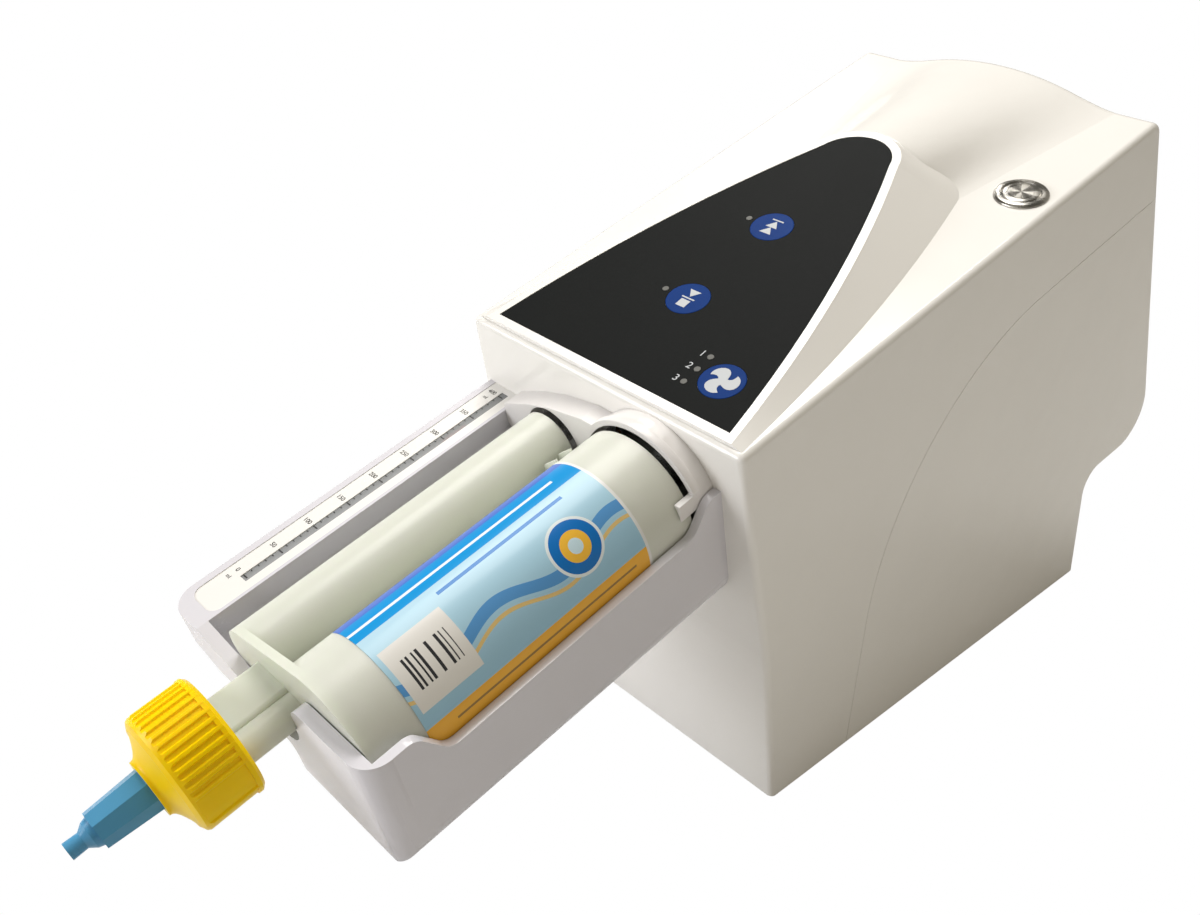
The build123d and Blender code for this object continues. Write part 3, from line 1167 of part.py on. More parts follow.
front_end = min(piece.bounding_box().min.Y for piece in pieces.values())
rear_end = max(piece.bounding_box().max.Y for piece in pieces.values())
standing = Location((0, -(front_end + rear_end) / 2, BASE_DROP + FOOT_PROUD))
os.makedirs("parts", exist_ok=True)
for name, piece in pieces.items():
    export_step(standing * piece, f"parts/{name}.step")
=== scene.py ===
import math

import bmesh
import bpy
from mathutils import Matrix, Vector
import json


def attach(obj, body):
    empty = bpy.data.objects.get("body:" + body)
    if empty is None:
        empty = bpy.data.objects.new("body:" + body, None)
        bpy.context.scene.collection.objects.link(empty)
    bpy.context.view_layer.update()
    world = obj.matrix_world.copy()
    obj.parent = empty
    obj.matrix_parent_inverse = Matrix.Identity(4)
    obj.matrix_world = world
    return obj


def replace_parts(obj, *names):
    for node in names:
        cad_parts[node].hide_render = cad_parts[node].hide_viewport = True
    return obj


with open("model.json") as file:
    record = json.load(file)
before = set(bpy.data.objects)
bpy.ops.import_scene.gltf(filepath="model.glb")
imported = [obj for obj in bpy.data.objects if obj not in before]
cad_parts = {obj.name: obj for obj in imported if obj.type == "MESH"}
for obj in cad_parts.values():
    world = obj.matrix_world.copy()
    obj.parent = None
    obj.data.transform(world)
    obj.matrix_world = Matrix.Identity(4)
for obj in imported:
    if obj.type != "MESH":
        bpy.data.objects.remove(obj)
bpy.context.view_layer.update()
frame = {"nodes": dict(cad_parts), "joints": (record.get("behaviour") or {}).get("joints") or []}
nodes = frame["nodes"]

# Housing. Two injection-moulded shells of glossy warm white ABS that meet on a thin curved seam:
# the front shell with the raised island round the keys, and the rear cover with the lower sides.
# They are left bare, so their only texture is the faint ripple of the mould.
TILT = math.radians(15.0)


class Signal:
    """One socket of a finish, so that shader maths reads like plain sums."""

    def __init__(self, finish, socket):
        self.finish = finish
        self.socket = socket

    def _sum(self, operation, *terms):
        return self.finish.node("ShaderNodeMath", "Value", {"operation": operation}, terms)

    def __add__(self, other):
        return self._sum("ADD", self, other)

    __radd__ = __add__

    def __sub__(self, other):
        return self._sum("SUBTRACT", self, other)

    def __rsub__(self, other):
        return self._sum("SUBTRACT", other, self)

    def __mul__(self, other):
        return self._sum("MULTIPLY", self, other)

    __rmul__ = __mul__

    def __truediv__(self, other):
        return self._sum("DIVIDE", self, other)

    def __gt__(self, other):
        return self._sum("GREATER_THAN", self, other)

    def __lt__(self, other):
        return self._sum("LESS_THAN", self, other)


class Finish:
    """One surface: its base shader, and the nodes that vary it from place to place."""

    def __init__(self, name, colour, roughness, **fixed):
        self.material = bpy.data.materials.new(name)
        self.material.use_nodes = True
        self.tree = self.material.node_tree
        self.shader = next(n for n in self.tree.nodes if n.type == "BSDF_PRINCIPLED")
        self.colour = (*colour, 1.0)
        self.shader.inputs["Base Color"].default_value = self.colour
        self.shader.inputs["Roughness"].default_value = roughness
        for socket, value in fixed.items():
            self.shader.inputs[socket.replace("_", " ")].default_value = value

    def node(self, kind, output, settings=(), sockets=()):
        made = self.tree.nodes.new(kind)
        for setting, value in dict(settings).items():
            if setting == "stops":
                ramp = made.color_ramp
                ramp.elements[0].position, ramp.elements[0].color = value[0]
                ramp.elements[1].position, ramp.elements[1].color = value[-1]
                for position, colour in value[1:-1]:
                    ramp.elements.new(position).color = colour
            else:
                setattr(made, setting, value)
        pairs = sockets.items() if isinstance(sockets, dict) else enumerate(sockets)
        for key, value in pairs:
            if isinstance(value, Signal):
                self.tree.links.new(value.socket, made.inputs[key])
            else:
                made.inputs[key].default_value = value
        return Signal(self, made.outputs[output])

    def place(self, location=(0, 0, 0), rotation=(0, 0, 0), scale=(1, 1, 1)):
        """Position on the object, seen from a frame put at location and turned by rotation."""
        at = self.node("ShaderNodeTexCoord", "Object")
        frame_at = {"Vector": at, "Location": location, "Rotation": rotation, "Scale": scale}
        return self.node("ShaderNodeMapping", "Vector", {"vector_type": "TEXTURE"}, frame_at)

    def axis(self, place, name):
        return self.node("ShaderNodeSeparateXYZ", name, (), {"Vector": place})

    def noise(self, place, scale, detail=3.0, roughness=0.5, stretch=None):
        if stretch:
            place = self.node("ShaderNodeMapping", "Vector", (), {"Vector": place, "Scale": stretch})
        grain = {"Vector": place, "Scale": scale, "Detail": detail, "Roughness": roughness}
        return self.node("ShaderNodeTexNoise", "Fac", (), grain)

    def ramp(self, value, *stops):
        return self.node("ShaderNodeValToRGB", "Color", {"stops": stops}, {"Fac": value})

    def mix(self, mask, first, second):
        pair = [v if isinstance(v, Signal) else (*v[:3], 1.0) for v in (first, second)]
        sockets = {0: mask, 6: pair[0], 7: pair[1]}
        return self.node("ShaderNodeMix", 2, {"data_type": "RGBA"}, sockets)

    def bump(self, height, distance, strength=1.0):
        sockets = {"Height": height, "Distance": distance, "Strength": strength}
        self.vary("Normal", self.node("ShaderNodeBump", "Normal", (), sockets))

    def vary(self, socket, value):
        self.tree.links.new(value.socket, self.shader.inputs[socket])

    def on(self, *pieces):
        for piece in pieces:
            mesh = piece.data
            if not mesh.materials:
                mesh.materials.append(None)
            for slot in piece.material_slots:
                slot.material = self.material


def moulded(name, colour, roughness, ripple, tone=0.02, **fixed):
    """Injection-moulded plastic: a slow ripple, fine grain and a slight change of tone."""
    finish = Finish(name, colour, roughness, **fixed)
    place = finish.place()
    slow = finish.noise(place, 22.0, 2.0)
    fine = finish.noise(place, 900.0, 3.0)
    shade = [c * (1 - tone) for c in colour]
    light = [min(1.0, c * (1 + tone)) for c in colour]
    finish.vary("Base Color", finish.mix(slow, shade, light))
    finish.vary("Roughness", slow * (0.25 * roughness) + fine * (0.1 * roughness) + 0.82 * roughness)
    finish.bump(slow + fine * 0.02, ripple)
    return finish


def soften(width, *pieces):
    """Round the sharp edges of moulded pieces a little, as a mould does."""
    for piece in pieces:
        weld = piece.modifiers.new("weld", "WELD")
        weld.merge_threshold = 0.000005
        bevel = piece.modifiers.new("soft_edges", "BEVEL")
        bevel.width = width
        bevel.segments = 3
        bevel.limit_method = "ANGLE"
        bevel.angle_limit = math.radians(35)
        bevel.harden_normals = True
        bevel.use_clamp_overlap = True


housing_white = moulded("housing_white", (0.90, 0.88, 0.845), 0.18, 0.0005, 0.015, Coat_Weight=0.2)
housing_white.on(nodes["front_shell"], nodes["rear_cover"])

# Base. A matt grey plate closes the housing from below, with countersunk screws and four low
# rubber feet pressed on to it.
base_grey = moulded("base_grey", (0.13, 0.13, 0.135), 0.55, 0.0002)
base_grey.on(nodes["base_plate"])
foot_rubber = moulded("foot_rubber", (0.018, 0.018, 0.018), 0.75, 0.0002)
foot_rubber.on(nodes["rubber_feet"])


def worked_metal(name, colour, roughness, scratches, depth=0.00002, stretch=(1, 1, 1)):
    """Bare metal with fine working marks, which stretch gives a direction."""
    finish = Finish(name, colour, roughness, Metallic=1.0)
    place = finish.place()
    marks = finish.noise(place, scratches, 4.0, 0.6, stretch)
    patches = finish.noise(place, 60.0, 2.0)
    finish.vary("Base Color", finish.mix(marks, [c * 0.82 for c in colour], colour))
    finish.vary("Roughness", marks * 0.18 + patches * 0.1 + (roughness - 0.1))
    finish.bump(marks, depth)
    return finish


screw_steel = worked_metal("screw_steel", (0.45, 0.45, 0.44), 0.35, 500.0)
screw_steel.on(nodes["base_screws"], nodes["seat_screws"], nodes["tray_screws"], nodes["rod_screws"])

# Control panel. A matt black polyester membrane with a fine embossed grain, glued into the
# pocket of the island. Its three keys are blue domes, printed white from behind.
panel_frame = Matrix.Rotation(TILT, 4, "X")
nut_joint = next(j for j in frame["joints"] if j["name"] == "nut_turn")
nut_centre = Vector((-1.45, -189.0, -33.5)) * 0.001
feed_frame = Matrix.Translation(Vector(nut_joint["pos_m"]) - panel_frame @ nut_centre) @ panel_frame
panel_top = feed_frame @ Matrix.Translation((0, 0, 0.0015)) @ Matrix.Rotation(math.radians(5.7), 4, "X")
feed_origin = tuple(feed_frame.translation)

membrane = Finish("membrane_black", (0.009, 0.010, 0.010), 0.5, Specular_IOR_Level=0.035)
grain = membrane.node("ShaderNodeTexVoronoi", "Distance", (), {"Vector": membrane.place(), "Scale": 2600.0})
cloud = membrane.noise(membrane.place(), 35.0, 3.0)
membrane.vary("Base Color", membrane.mix(cloud, (0.007, 0.008, 0.008), (0.011, 0.012, 0.012)))
membrane.vary("Roughness", cloud * 0.08 + grain * 0.12 + 0.42)
membrane.bump(grain, 0.00003)
membrane.on(nodes["membrane_panel"])

key_blue = Finish("key_blue", (0.004, 0.034, 0.185), 0.38, Specular_IOR_Level=0.03)
speckle = key_blue.node("ShaderNodeTexVoronoi", "Distance", (), {"Vector": key_blue.place(), "Scale": 2400.0})
tint = key_blue.noise(key_blue.place(), 120.0, 2.0)
key_blue.vary("Base Color", key_blue.mix(tint, (0.003, 0.031, 0.17), (0.005, 0.040, 0.20)))
key_blue.vary("Roughness", speckle * 0.15 + 0.3)
key_blue.bump(speckle, 0.00002)
key_blue.on(nodes["key_rewind"], nodes["key_start_stop"], nodes["key_speed"])

print_white = moulded("print_white", (0.53, 0.55, 0.57), 0.5, 0.00001, Specular_IOR_Level=0.2)


def finished(mesh_maker, name, finish, body, smooth=None):
    """Turn a bmesh into a piece with its finish, riding on its body."""
    data = bpy.data.meshes.new(name)
    mesh_maker.to_mesh(data)
    mesh_maker.free()
    piece = bpy.data.objects.new(name, data)
    bpy.context.scene.collection.objects.link(piece)
    if smooth is not None:
        data.shade_smooth()
        data.set_sharp_from_angle(angle=math.radians(smooth))
    finish.on(piece)
    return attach(piece, body) or piece


def flat_shape(corner_lists, thick, place):
    """Thin prints: each list of corners becomes one face, raised by thick, then put in place."""
    shape = bmesh.new()
    for corners in corner_lists:
        face = shape.faces.new([shape.verts.new((x, y, 0)) for x, y in corners])
        if face.calc_area() and face.normal.z < 0:
            face.normal_flip()
    shape.normal_update()
    for face in shape.faces:
        if face.normal.z < 0:
            face.normal_flip()
    lifted = bmesh.ops.extrude_face_region(shape, geom=shape.faces[:])
    risen = [v for v in lifted["geom"] if isinstance(v, bmesh.types.BMVert)]
    bmesh.ops.translate(shape, verts=risen, vec=(0, 0, thick))
    bmesh.ops.recalc_face_normals(shape, faces=shape.faces[:])
    shape.transform(place)
    return shape


def key_place(x, y):
    """On top of the key at (x, y) of the panel, with x and y turned the panel's way."""
    return panel_top @ Matrix.Translation((x, y, -0.0001))


PRINT = 0.00008
rewind_marks = [
    [(-0.0030, -0.0052), (0.0030, -0.0052), (0.0, -0.0007)],
    [(-0.0030, -0.0007), (0.0030, -0.0007), (0.0, 0.0038)],
    [(-0.0030, 0.0042), (0.0030, 0.0042), (0.0030, 0.0049), (-0.0030, 0.0049)],
]
rewind_print = flat_shape(rewind_marks, PRINT, key_place(0.0, 0.1147))
finished(rewind_print, "rewind_print", print_white, "rewind")
start_marks = [
    [(-0.0024, -0.0056), (0.0024, -0.0056), (0.0024, -0.0012), (-0.0024, -0.0012)],
    [(-0.0034, -0.0003), (0.0034, -0.0003), (0.0034, 0.0004), (-0.0034, 0.0004)],
    [(0.0, 0.0012), (0.0030, 0.0054), (-0.0030, 0.0054)],
]
start_print = flat_shape(start_marks, PRINT, key_place(0.0, 0.0582))
finished(start_print, "start_stop_print", print_white, "start_stop")

# one blade of the fan, as reach in mm and turn in degrees, from the notch before it round its tip
blade = [(2.9, -15), (4.2, -15), (5.3, -8), (6.3, -1), (6.5, 0), (6.7, -4), (7.05, -13), (7.3, -22),
         (7.45, -32), (7.5, -43), (7.35, -55), (7.0, -66), (6.4, -76), (5.6, -85), (4.7, -93), (3.8, -100),
         (2.9, -109), (2.2, -122)]
fan = [[]]
for turned_by in (55, -65, -185):
    for reach, turn in blade:
        at = math.radians(turn + turned_by)
        fan[0].append((0.001 * reach * math.cos(at), 0.001 * reach * math.sin(at)))
fan_print = flat_shape(fan, PRINT, key_place(0.0452, 0.0271))
finished(fan_print, "fan_print", print_white, "speed")


def lettering(text, size, thick, place):
    """Printed figures as a thin mesh, centred on their place."""
    curve = bpy.data.curves.new("figures", "FONT")
    curve.body = text
    curve.size = size
    curve.extrude = thick / 2
    curve.align_x = "CENTER"
    curve.align_y = "CENTER"
    holder = bpy.data.objects.new("figures", curve)
    bpy.context.scene.collection.objects.link(holder)
    bpy.context.view_layer.update()
    solid = bpy.data.meshes.new_from_object(holder.evaluated_get(bpy.context.evaluated_depsgraph_get()))
    bpy.data.objects.remove(holder)
    shape = bmesh.new()
    shape.from_mesh(solid)
    bmesh.ops.remove_doubles(shape, verts=shape.verts[:], dist=size * 0.0001)
    shape.transform(place)
    return shape


for row, digit in enumerate(("3", "2", "1")):
    at = panel_top @ Matrix.Translation((0.0281, 0.0189 + 0.0082 * row, -0.0002 + PRINT / 2))
    figure = lettering(digit, 0.0050, PRINT, at)
    finished(figure, f"panel_figure_{digit}", print_white, "frame")

# Status lights. Five small moulded light guides show through the membrane, unlit and grey.
light_guide = moulded("light_guide", (0.13, 0.13, 0.12), 0.45, 0.00002, Specular_IOR_Level=0.15)
light_guide.on(nodes["status_leds"])

# Push-button. Turned from stainless steel: a flanged body with a threaded shank, a lock nut
# behind the wall, and a sprung cap whose face keeps the fine rings of the lathe.
button_at = feed_frame @ Matrix.Translation((0.0647, 0.2121, 0))


def turned(profile, place, steps=96):
    """Spin a profile of (radius, height) corners about the axis of place."""
    shape = bmesh.new()
    corners = [shape.verts.new((r, 0, z)) for r, z in profile]
    edges = [shape.edges.new(pair) for pair in zip(corners, corners[1:])]
    bmesh.ops.spin(
        shape, geom=corners + edges, cent=(0, 0, 0), axis=(0, 0, 1), dvec=(0, 0, 0),
        angle=2 * math.pi, steps=steps, use_merge=True, use_duplicate=False,
    )
    bmesh.ops.remove_doubles(shape, verts=shape.verts[:], dist=0.000005)
    bmesh.ops.recalc_face_normals(shape, faces=shape.faces[:])
    shape.transform(place)
    return shape


def lathe_steel(name, colour, centre, rings):
    """Steel faced on a lathe: rings round the centre, with a fan of painted glints across them, a painted reflection
    that lightens and darkens its colour.
    """
    finish = Finish(name, colour, 0.22, Metallic=1.0, Anisotropic=0.6)
    place = finish.place(centre, (TILT, 0, 0))
    x, y = finish.axis(place, "X"), finish.axis(place, "Y")
    radius = finish.node("ShaderNodeMath", "Value", {"operation": "SQRT"}, [x * x + y * y])
    groove = finish.node("ShaderNodeMath", "Value", {"operation": "SINE"}, [radius * rings])
    turn = finish.node("ShaderNodeMath", "Value", {"operation": "ARCTAN2"}, [y, x])
    # painted reflection: a fan of four glints round the centre, which lightens and darkens the colour below
    painted_glint = finish.node("ShaderNodeMath", "Value", {"operation": "SINE"}, [turn * 4 + 0.6])
    marks = finish.noise(place, 700.0, 4.0)
    # The colour runs to this darker copy in the real working marks and in the dark sectors of the fan, which are
    # painted shade between the painted glints.
    shaded_and_marked = [c * 0.35 for c in colour]
    finish.vary("Base Color", finish.mix(painted_glint * 0.5 + marks * 0.5 + 0.1, shaded_and_marked, colour))
    finish.vary("Roughness", painted_glint * 0.06 + marks * 0.15 + 0.18)
    finish.bump(groove * 0.5 + marks * 0.4, 0.00003)
    return finish


button_steel = lathe_steel("button_steel", (0.62, 0.60, 0.56), tuple(button_at.translation), 9000.0)
thread = []
for pitch in range(12):
    base = -0.0012 - 0.002 * pitch
    thread += [(0.0110, base), (0.0110, base - 0.0006), (0.0105, base - 0.001), (0.0105, base - 0.0014)]
button_body = turned(
    [(0.00866, -0.0098), (0.00866, 0.0010), (0.0090, 0.0014), (0.0094, 0.0018), (0.0108, 0.0018),
     (0.0119, 0.0012), (0.0123, 0.0006), (0.0123, 0.0), (0.0110, 0.0), (0.0110, -0.0010)]
    + thread + [(0.0110, -0.0254), (0.0100, -0.0260), (0.0, -0.0260), (0.0, -0.0098), (0.00866, -0.0098)],
    button_at,
)
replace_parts(finished(button_body, "button_body", button_steel, "frame", 30), "power_button_body")
button_cap = turned(
    [(0.0, -0.0004), (0.0070, -0.0004), (0.0072, -0.0006), (0.0072, -0.0030),
     (0.0083, -0.0030), (0.0086, -0.0027), (0.0086, 0.0010), (0.0083, 0.00155),
     (0.0078, 0.0018), (0.0062, 0.0018), (0.0060, 0.0016), (0.0057, 0.0016), (0.0055, 0.0018), (0.0, 0.0018)],
    button_at,
)
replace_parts(finished(button_cap, "button_cap", button_steel, "power", 30), "power_button_cap")
screw_steel.on(nodes["power_button_nut"], nodes["power_button_spring"])

# Tray. A moulded cradle screwed to the housing's front wall: glossy cool white, with a scooped
# right rim, a notch for the outlets and a broad left rim that carries the scale.
tray_white = moulded("tray_white", (0.70, 0.685, 0.73), 0.26, 0.0004, Coat_Weight=0.2)
tray_white.on(nodes["tray"])
soften(0.0011, nodes["tray"], nodes["seat_plate"])
seat_white = moulded("seat_white", (0.80, 0.775, 0.765), 0.3, 0.0003)
seat_white.on(nodes["seat_plate"])

# Scale. A white film with printed figures lies in the left rim; through its clear slot the red
# pointer shows, which runs in the channel underneath.
film_white = moulded("film_white", (0.84, 0.825, 0.80), 0.35, 0.0001)
film_white.on(nodes["scale_card"])
pointer_red = moulded("pointer_red", (0.75, 0.02, 0.03), 0.35, 0.0001)
pointer_red.on(nodes["pointer"])
slot_clear = Finish("slot_clear", (0.64, 0.66, 0.67), 0.2, Alpha=0.4)
slot_clear.on(nodes["scale_window"])
print_black = moulded("print_black", (0.02, 0.02, 0.02), 0.4, 0.00001)

FILM_TOP = -0.0343
PER_ML = 0.0003433
marks = []
for dose in range(0, 401, 10):
    y = -0.0057 - (400 - dose) * PER_ML
    if dose % 50 == 0:
        marks.append([(-0.0631, y - 0.0003), (-0.0603, y - 0.0003), (-0.0603, y + 0.0003), (-0.0631, y + 0.0003)])
    else:
        marks.append([(-0.0630, y - 0.00025), (-0.0619, y - 0.00025), (-0.0619, y + 0.00025), (-0.0630, y + 0.00025)])
ticks = flat_shape(marks, PRINT, feed_frame @ Matrix.Translation((0, 0, FILM_TOP - 0.0004)))
finished(ticks, "scale_ticks", print_black, "frame")
for dose in range(0, 401, 50):
    at = Vector((-0.0671, -0.0057 - (400 - dose) * PER_ML, FILM_TOP + PRINT / 2))
    figure = lettering(str(dose), 0.0031, PRINT, feed_frame @ Matrix.Translation(at))
    finished(figure, f"scale_figure_{dose}", print_black, "frame")
for number, y in enumerate((-0.0100, -0.1475)):
    unit = lettering("ml", 0.0025, PRINT, feed_frame @ Matrix.Translation((-0.0671, y, FILM_TOP + PRINT / 2)))
    finished(unit, f"scale_unit_{number}", print_black, "frame")
ground_steel = worked_metal("ground_steel", (0.55, 0.55, 0.54), 0.25, 300.0, stretch=(8, 0.5, 8))
ground_steel.on(nodes["pointer_rod"], nodes["base_plunger_rod"], nodes["catalyst_plunger_rod"],
                nodes["guide_rods"], nodes["lead_screw"], nodes["mixer_shaft"])

# Cartridge. Two barrels blown together in milky, faintly green polypropylene, with a joined
# front plate and a double neck; the light sinks a little way into the plastic.
milky = moulded(
    "cartridge_milky", (0.70, 0.725, 0.63), 0.3, 0.0004, 0.03, Specular_IOR_Level=0.35,
    Subsurface_Weight=0.35, Subsurface_Radius=(0.012, 0.014, 0.011), Subsurface_Scale=0.6,
)
milky.on(nodes["cartridge_body"])
piston_white = moulded("piston_white", (0.68, 0.68, 0.62), 0.4, 0.0002)
piston_white.on(nodes["base_piston"], nodes["catalyst_piston"])
seal_rubber = moulded("seal_rubber", (0.02, 0.02, 0.02), 0.5, 0.0001)
seal_rubber.on(nodes["piston_seals"], nodes["drive_belt"])

# Label. A glossy printed film round the large barrel: two blue bands at the top, a pale blue
# field with waves and a ring, a striped white patch and an orange band.
BARREL = Vector((0.032, 0.0, -0.0335))
label = Finish("label_film", (0.44, 0.66, 0.80), 0.3, Specular_IOR_Level=0.3, Coat_Weight=0.12, Coat_Roughness=0.08)
barrel_at = feed_frame @ BARREL
around = label.place(tuple(barrel_at), (TILT, 0, 0))
angle = label.node(
    "ShaderNodeMath", "Value", {"operation": "ARCTAN2"}, [label.axis(around, "Z"), label.axis(around, "X")]
) * (180 / math.pi)
along = label.axis(around, "Y") * 1000.0
paper = label.noise(label.place(), 40.0, 2.0)
field = label.mix(paper, (0.36, 0.60, 0.76), (0.42, 0.66, 0.80))
# The pale field grows lighter from low on the right side of the barrel towards its top.
lighter_upward = label.ramp((angle - 15) / 80, (0.0, (0.30, 0.55, 0.74, 1)), (0.55, (0.42, 0.66, 0.80, 1)),
                  (1.0, (0.52, 0.74, 0.86, 1)))
field = label.mix(0.6, field, lighter_upward)
wave = label.node("ShaderNodeMath", "Value", {"operation": "SINE"}, [along * 0.11])
crest = wave * 7 + 52
field = label.mix((angle < crest) * (angle > crest - 9) * 0.75, field, (0.0, 0.21, 0.60))
field = label.mix((angle < crest - 13) * (angle > crest - 16) * 0.8, field, (0.9, 0.55, 0.08))
across = (angle - 50) * 0.513
off = label.node("ShaderNodeMath", "Value", {"operation": "SQRT"}, [(along + 62) * (along + 62) + across * across])
field = label.mix((off < 11.5) * 1.0, field, (0.78, 0.84, 0.86))
field = label.mix((off < 10.3) * 1.0, field, (0.0, 0.16, 0.52))
field = label.mix((off < 6.2) * 1.0, field, (0.92, 0.52, 0.05))
field = label.mix((off < 3.0) * 1.0, field, (0.60, 0.78, 0.86))
field = label.mix((angle > 84) * (angle < 87) * (along > -112) * (along < -52), field, (0.02, 0.20, 0.58))
field = label.mix((angle > 94) * 1.0, field, (0.0, 0.29, 0.68))
field = label.mix((angle > 103) * (angle < 106) * (along < -48), field, (0.80, 0.86, 0.90))
field = label.mix((angle > 117) * 1.0, field, (0.04, 0.14, 0.60))
patch = (angle < 77) * (angle > 27) * (along < -115) * (along > -142)
field = label.mix(patch, field, (0.80, 0.78, 0.74))
bars = label.node("ShaderNodeMath", "Value", {"operation": "SINE"}, [along * 3.1])
fine = label.node("ShaderNodeMath", "Value", {"operation": "SINE"}, [along * 1.37])
stripe = (bars + fine * 0.8 > 0.35) * (angle > 40) * (angle < 64) * (along < -119) * (along > -138)
field = label.mix(stripe, field, (0.03, 0.03, 0.035))
field = label.mix((angle < 15.4) * 1.0, field, (0.90, 0.46, 0.03))
field = label.mix((angle > 6) * (angle < 8) * (along > -132) * (along < -44), field, (0.30, 0.16, 0.03))
field = label.mix((along > -37.3) * 1.0, field, (0.82, 0.82, 0.80))
label.vary("Base Color", field)
label.vary("Roughness", paper * 0.08 + 0.26)
label.bump(paper, 0.00003)
label.on(nodes["cartridge_label"])

# Union nut. A ribbed yellow moulding that hooks behind the flange at the outlets and clamps the
# plug, and a soft blue plug that seals both outlets.
nut_yellow = moulded(
    "nut_yellow", (1.0, 0.64, 0.0), 0.34, 0.0003, 0.03, Specular_IOR_Level=0.16,
    Subsurface_Weight=0.4, Subsurface_Radius=(0.006, 0.004, 0.0005), Subsurface_Scale=0.5,
)
nut_yellow.on(nodes["union_nut"])
plug_blue = moulded("plug_blue", (0.075, 0.30, 0.52), 0.3, 0.0003, 0.05, Specular_IOR_Level=0.4)
plug_blue.on(nodes["outlet_plug"])

# Feed and mixer drive. Milled aluminium plates, ground rods, bronze bushes, steel bearings and
# black motors, all inside the housing.
milled = worked_metal("milled_aluminium", (0.66, 0.66, 0.65), 0.38, 250.0, stretch=(1, 1, 9))
milled.on(nodes["chassis_front_plate"], nodes["chassis_rear_plate"], nodes["crosshead"],
          nodes["chassis_brackets"], nodes["base_plunger"], nodes["catalyst_plunger"],
          nodes["screw_pulley"], nodes["motor_pulley"], nodes["mixer_coupling"])
bronze = worked_metal("sintered_bronze", (0.45, 0.27, 0.11), 0.45, 600.0)
bronze.on(nodes["feed_nut"], nodes["guide_bushes"], nodes["mixer_bushes"], nodes["board_standoffs"],
          nodes["mixer_motor_posts"])
bearing_steel = worked_metal("bearing_steel", (0.5, 0.5, 0.51), 0.2, 400.0)
bearing_steel.on(nodes["screw_bearings"], nodes["power_supply"], nodes["feed_gearbox"])
motor_black = moulded("motor_black", (0.03, 0.03, 0.032), 0.4, 0.0002)
motor_black.on(nodes["feed_motor"], nodes["mixer_motor"])

# Electrics. Green boards, black switches and supports, and a black mains inlet at the rear.
board_green = moulded("board_green", (0.01, 0.11, 0.04), 0.35, 0.0001)
board_green.on(nodes["keypad_board"], nodes["control_board"])
fitting_black = moulded("fitting_black", (0.02, 0.02, 0.021), 0.45, 0.0002)
fitting_black.on(nodes["key_switches"], nodes["keypad_posts"], nodes["mains_inlet"])

# Studio. A white floor and surround, one broad lamp overhead, a cool one in front and a weak one
# at the right, and the camera where the photograph was taken from.
floor_mesh = bmesh.new()
bmesh.ops.create_grid(floor_mesh, x_segments=1, y_segments=1, size=6.0)
floor_data = bpy.data.meshes.new("floor")
floor_mesh.to_mesh(floor_data)
floor_mesh.free()
floor = bpy.data.objects.new("floor", floor_data)
bpy.context.scene.collection.objects.link(floor)
floor_finish = Finish("floor_white", (0.75, 0.75, 0.75), 0.6)
floor_finish.on(floor)
seen = floor_finish.tree.nodes.new("ShaderNodeLightPath")
floor_glow = floor_finish.tree.nodes.new("ShaderNodeEmission")
floor_glow.inputs["Color"].default_value = (1, 1, 1, 1)
floor_mix = floor_finish.tree.nodes.new("ShaderNodeMixShader")
floor_out = next(n for n in floor_finish.tree.nodes if n.type == "OUTPUT_MATERIAL")
floor_finish.tree.links.new(seen.outputs["Is Camera Ray"], floor_mix.inputs[0])
floor_finish.tree.links.new(floor_finish.shader.outputs[0], floor_mix.inputs[1])
floor_finish.tree.links.new(floor_glow.outputs[0], floor_mix.inputs[2])
floor_finish.tree.links.new(floor_mix.outputs[0], floor_out.inputs["Surface"])

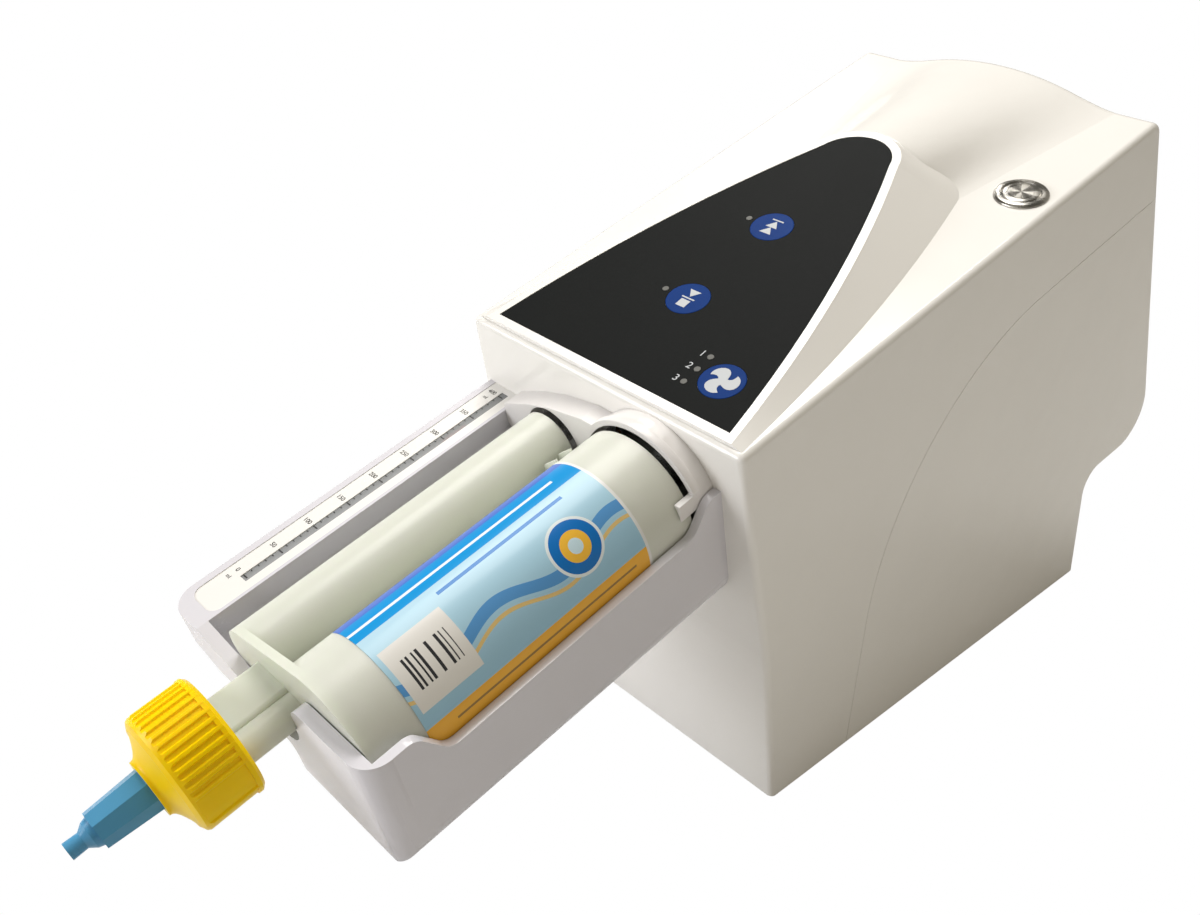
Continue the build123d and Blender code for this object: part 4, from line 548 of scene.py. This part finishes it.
world = bpy.data.worlds.new("studio")
bpy.context.scene.world = world
world.use_nodes = True
sky = world.node_tree
background = next(n for n in sky.nodes if n.type == "BACKGROUND")
rays = sky.nodes.new("ShaderNodeLightPath")
either = sky.nodes.new("ShaderNodeMath")
either.operation = "MAXIMUM"
sky.links.new(rays.outputs["Is Camera Ray"], either.inputs[0])
sky.links.new(rays.outputs["Is Transmission Ray"], either.inputs[1])
level = sky.nodes.new("ShaderNodeMapRange")
level.inputs["To Min"].default_value = 0.30
level.inputs["To Max"].default_value = 1.0
sky.links.new(either.outputs[0], level.inputs["Value"])
sky.links.new(level.outputs[0], background.inputs["Strength"])
tone = sky.nodes.new("ShaderNodeMix")
tone.data_type = "RGBA"
tone.inputs[6].default_value = (1.0, 0.935, 0.80, 1)
tone.inputs[7].default_value = (1, 1, 1, 1)
sky.links.new(either.outputs[0], tone.inputs[0])
sky.links.new(tone.outputs[2], background.inputs["Color"])


def lamp(name, at, aim, size, power, colour):
    light = bpy.data.lights.new(name, "AREA")
    light.shape = "DISK"
    light.size = size
    light.energy = power
    light.color = colour
    holder = bpy.data.objects.new(name, light)
    bpy.context.scene.collection.objects.link(holder)
    holder.location = at
    holder.rotation_euler = (Vector(aim) - Vector(at)).to_track_quat("-Z", "Y").to_euler()
    return holder


lamp("overhead", (-0.6, 0.25, 1.7), (0.0, 0.0, 0.15), 1.1, 22.6, (1.0, 0.98, 0.945))
lamp("front", (-0.9, -1.5, 0.6), (0.0, -0.1, 0.12), 0.9, 17.0, (0.96, 0.97, 1.0))
lamp("right", (1.6, 0.1, 0.5), (0.0, 0.0, 0.12), 1.2, 1.15, (1.0, 0.85, 0.62))
lamp("tube", (-1.0, 1.02, 1.5), (0.0, -0.1, 0.15), 0.16, 5.0, (1.0, 0.99, 0.96))

camera_data = bpy.data.cameras.new("camera")
camera_data.sensor_fit = "HORIZONTAL"
camera_data.sensor_width = 36.0
camera_data.lens = 1177.618 / 1200 * 36.0
camera_data.clip_start = 0.01
camera = bpy.data.objects.new("camera", camera_data)
bpy.context.scene.collection.objects.link(camera)
right = Vector((0.700742, 0.711232, 0.055761))
up = Vector((-0.407971, 0.335378, 0.849165))
back = Vector((0.585253, -0.617794, 0.525176))
seat = feed_frame @ Vector((0.292921, -0.234396, 0.294986))
camera.matrix_world = Matrix(
    [(right[i], up[i], back[i], seat[i]) for i in range(3)] + [(0, 0, 0, 1)]
)
bpy.context.scene.camera = camera
bpy.context.scene.view_settings.view_transform = "Standard"

bpy.context.view_layer.update()
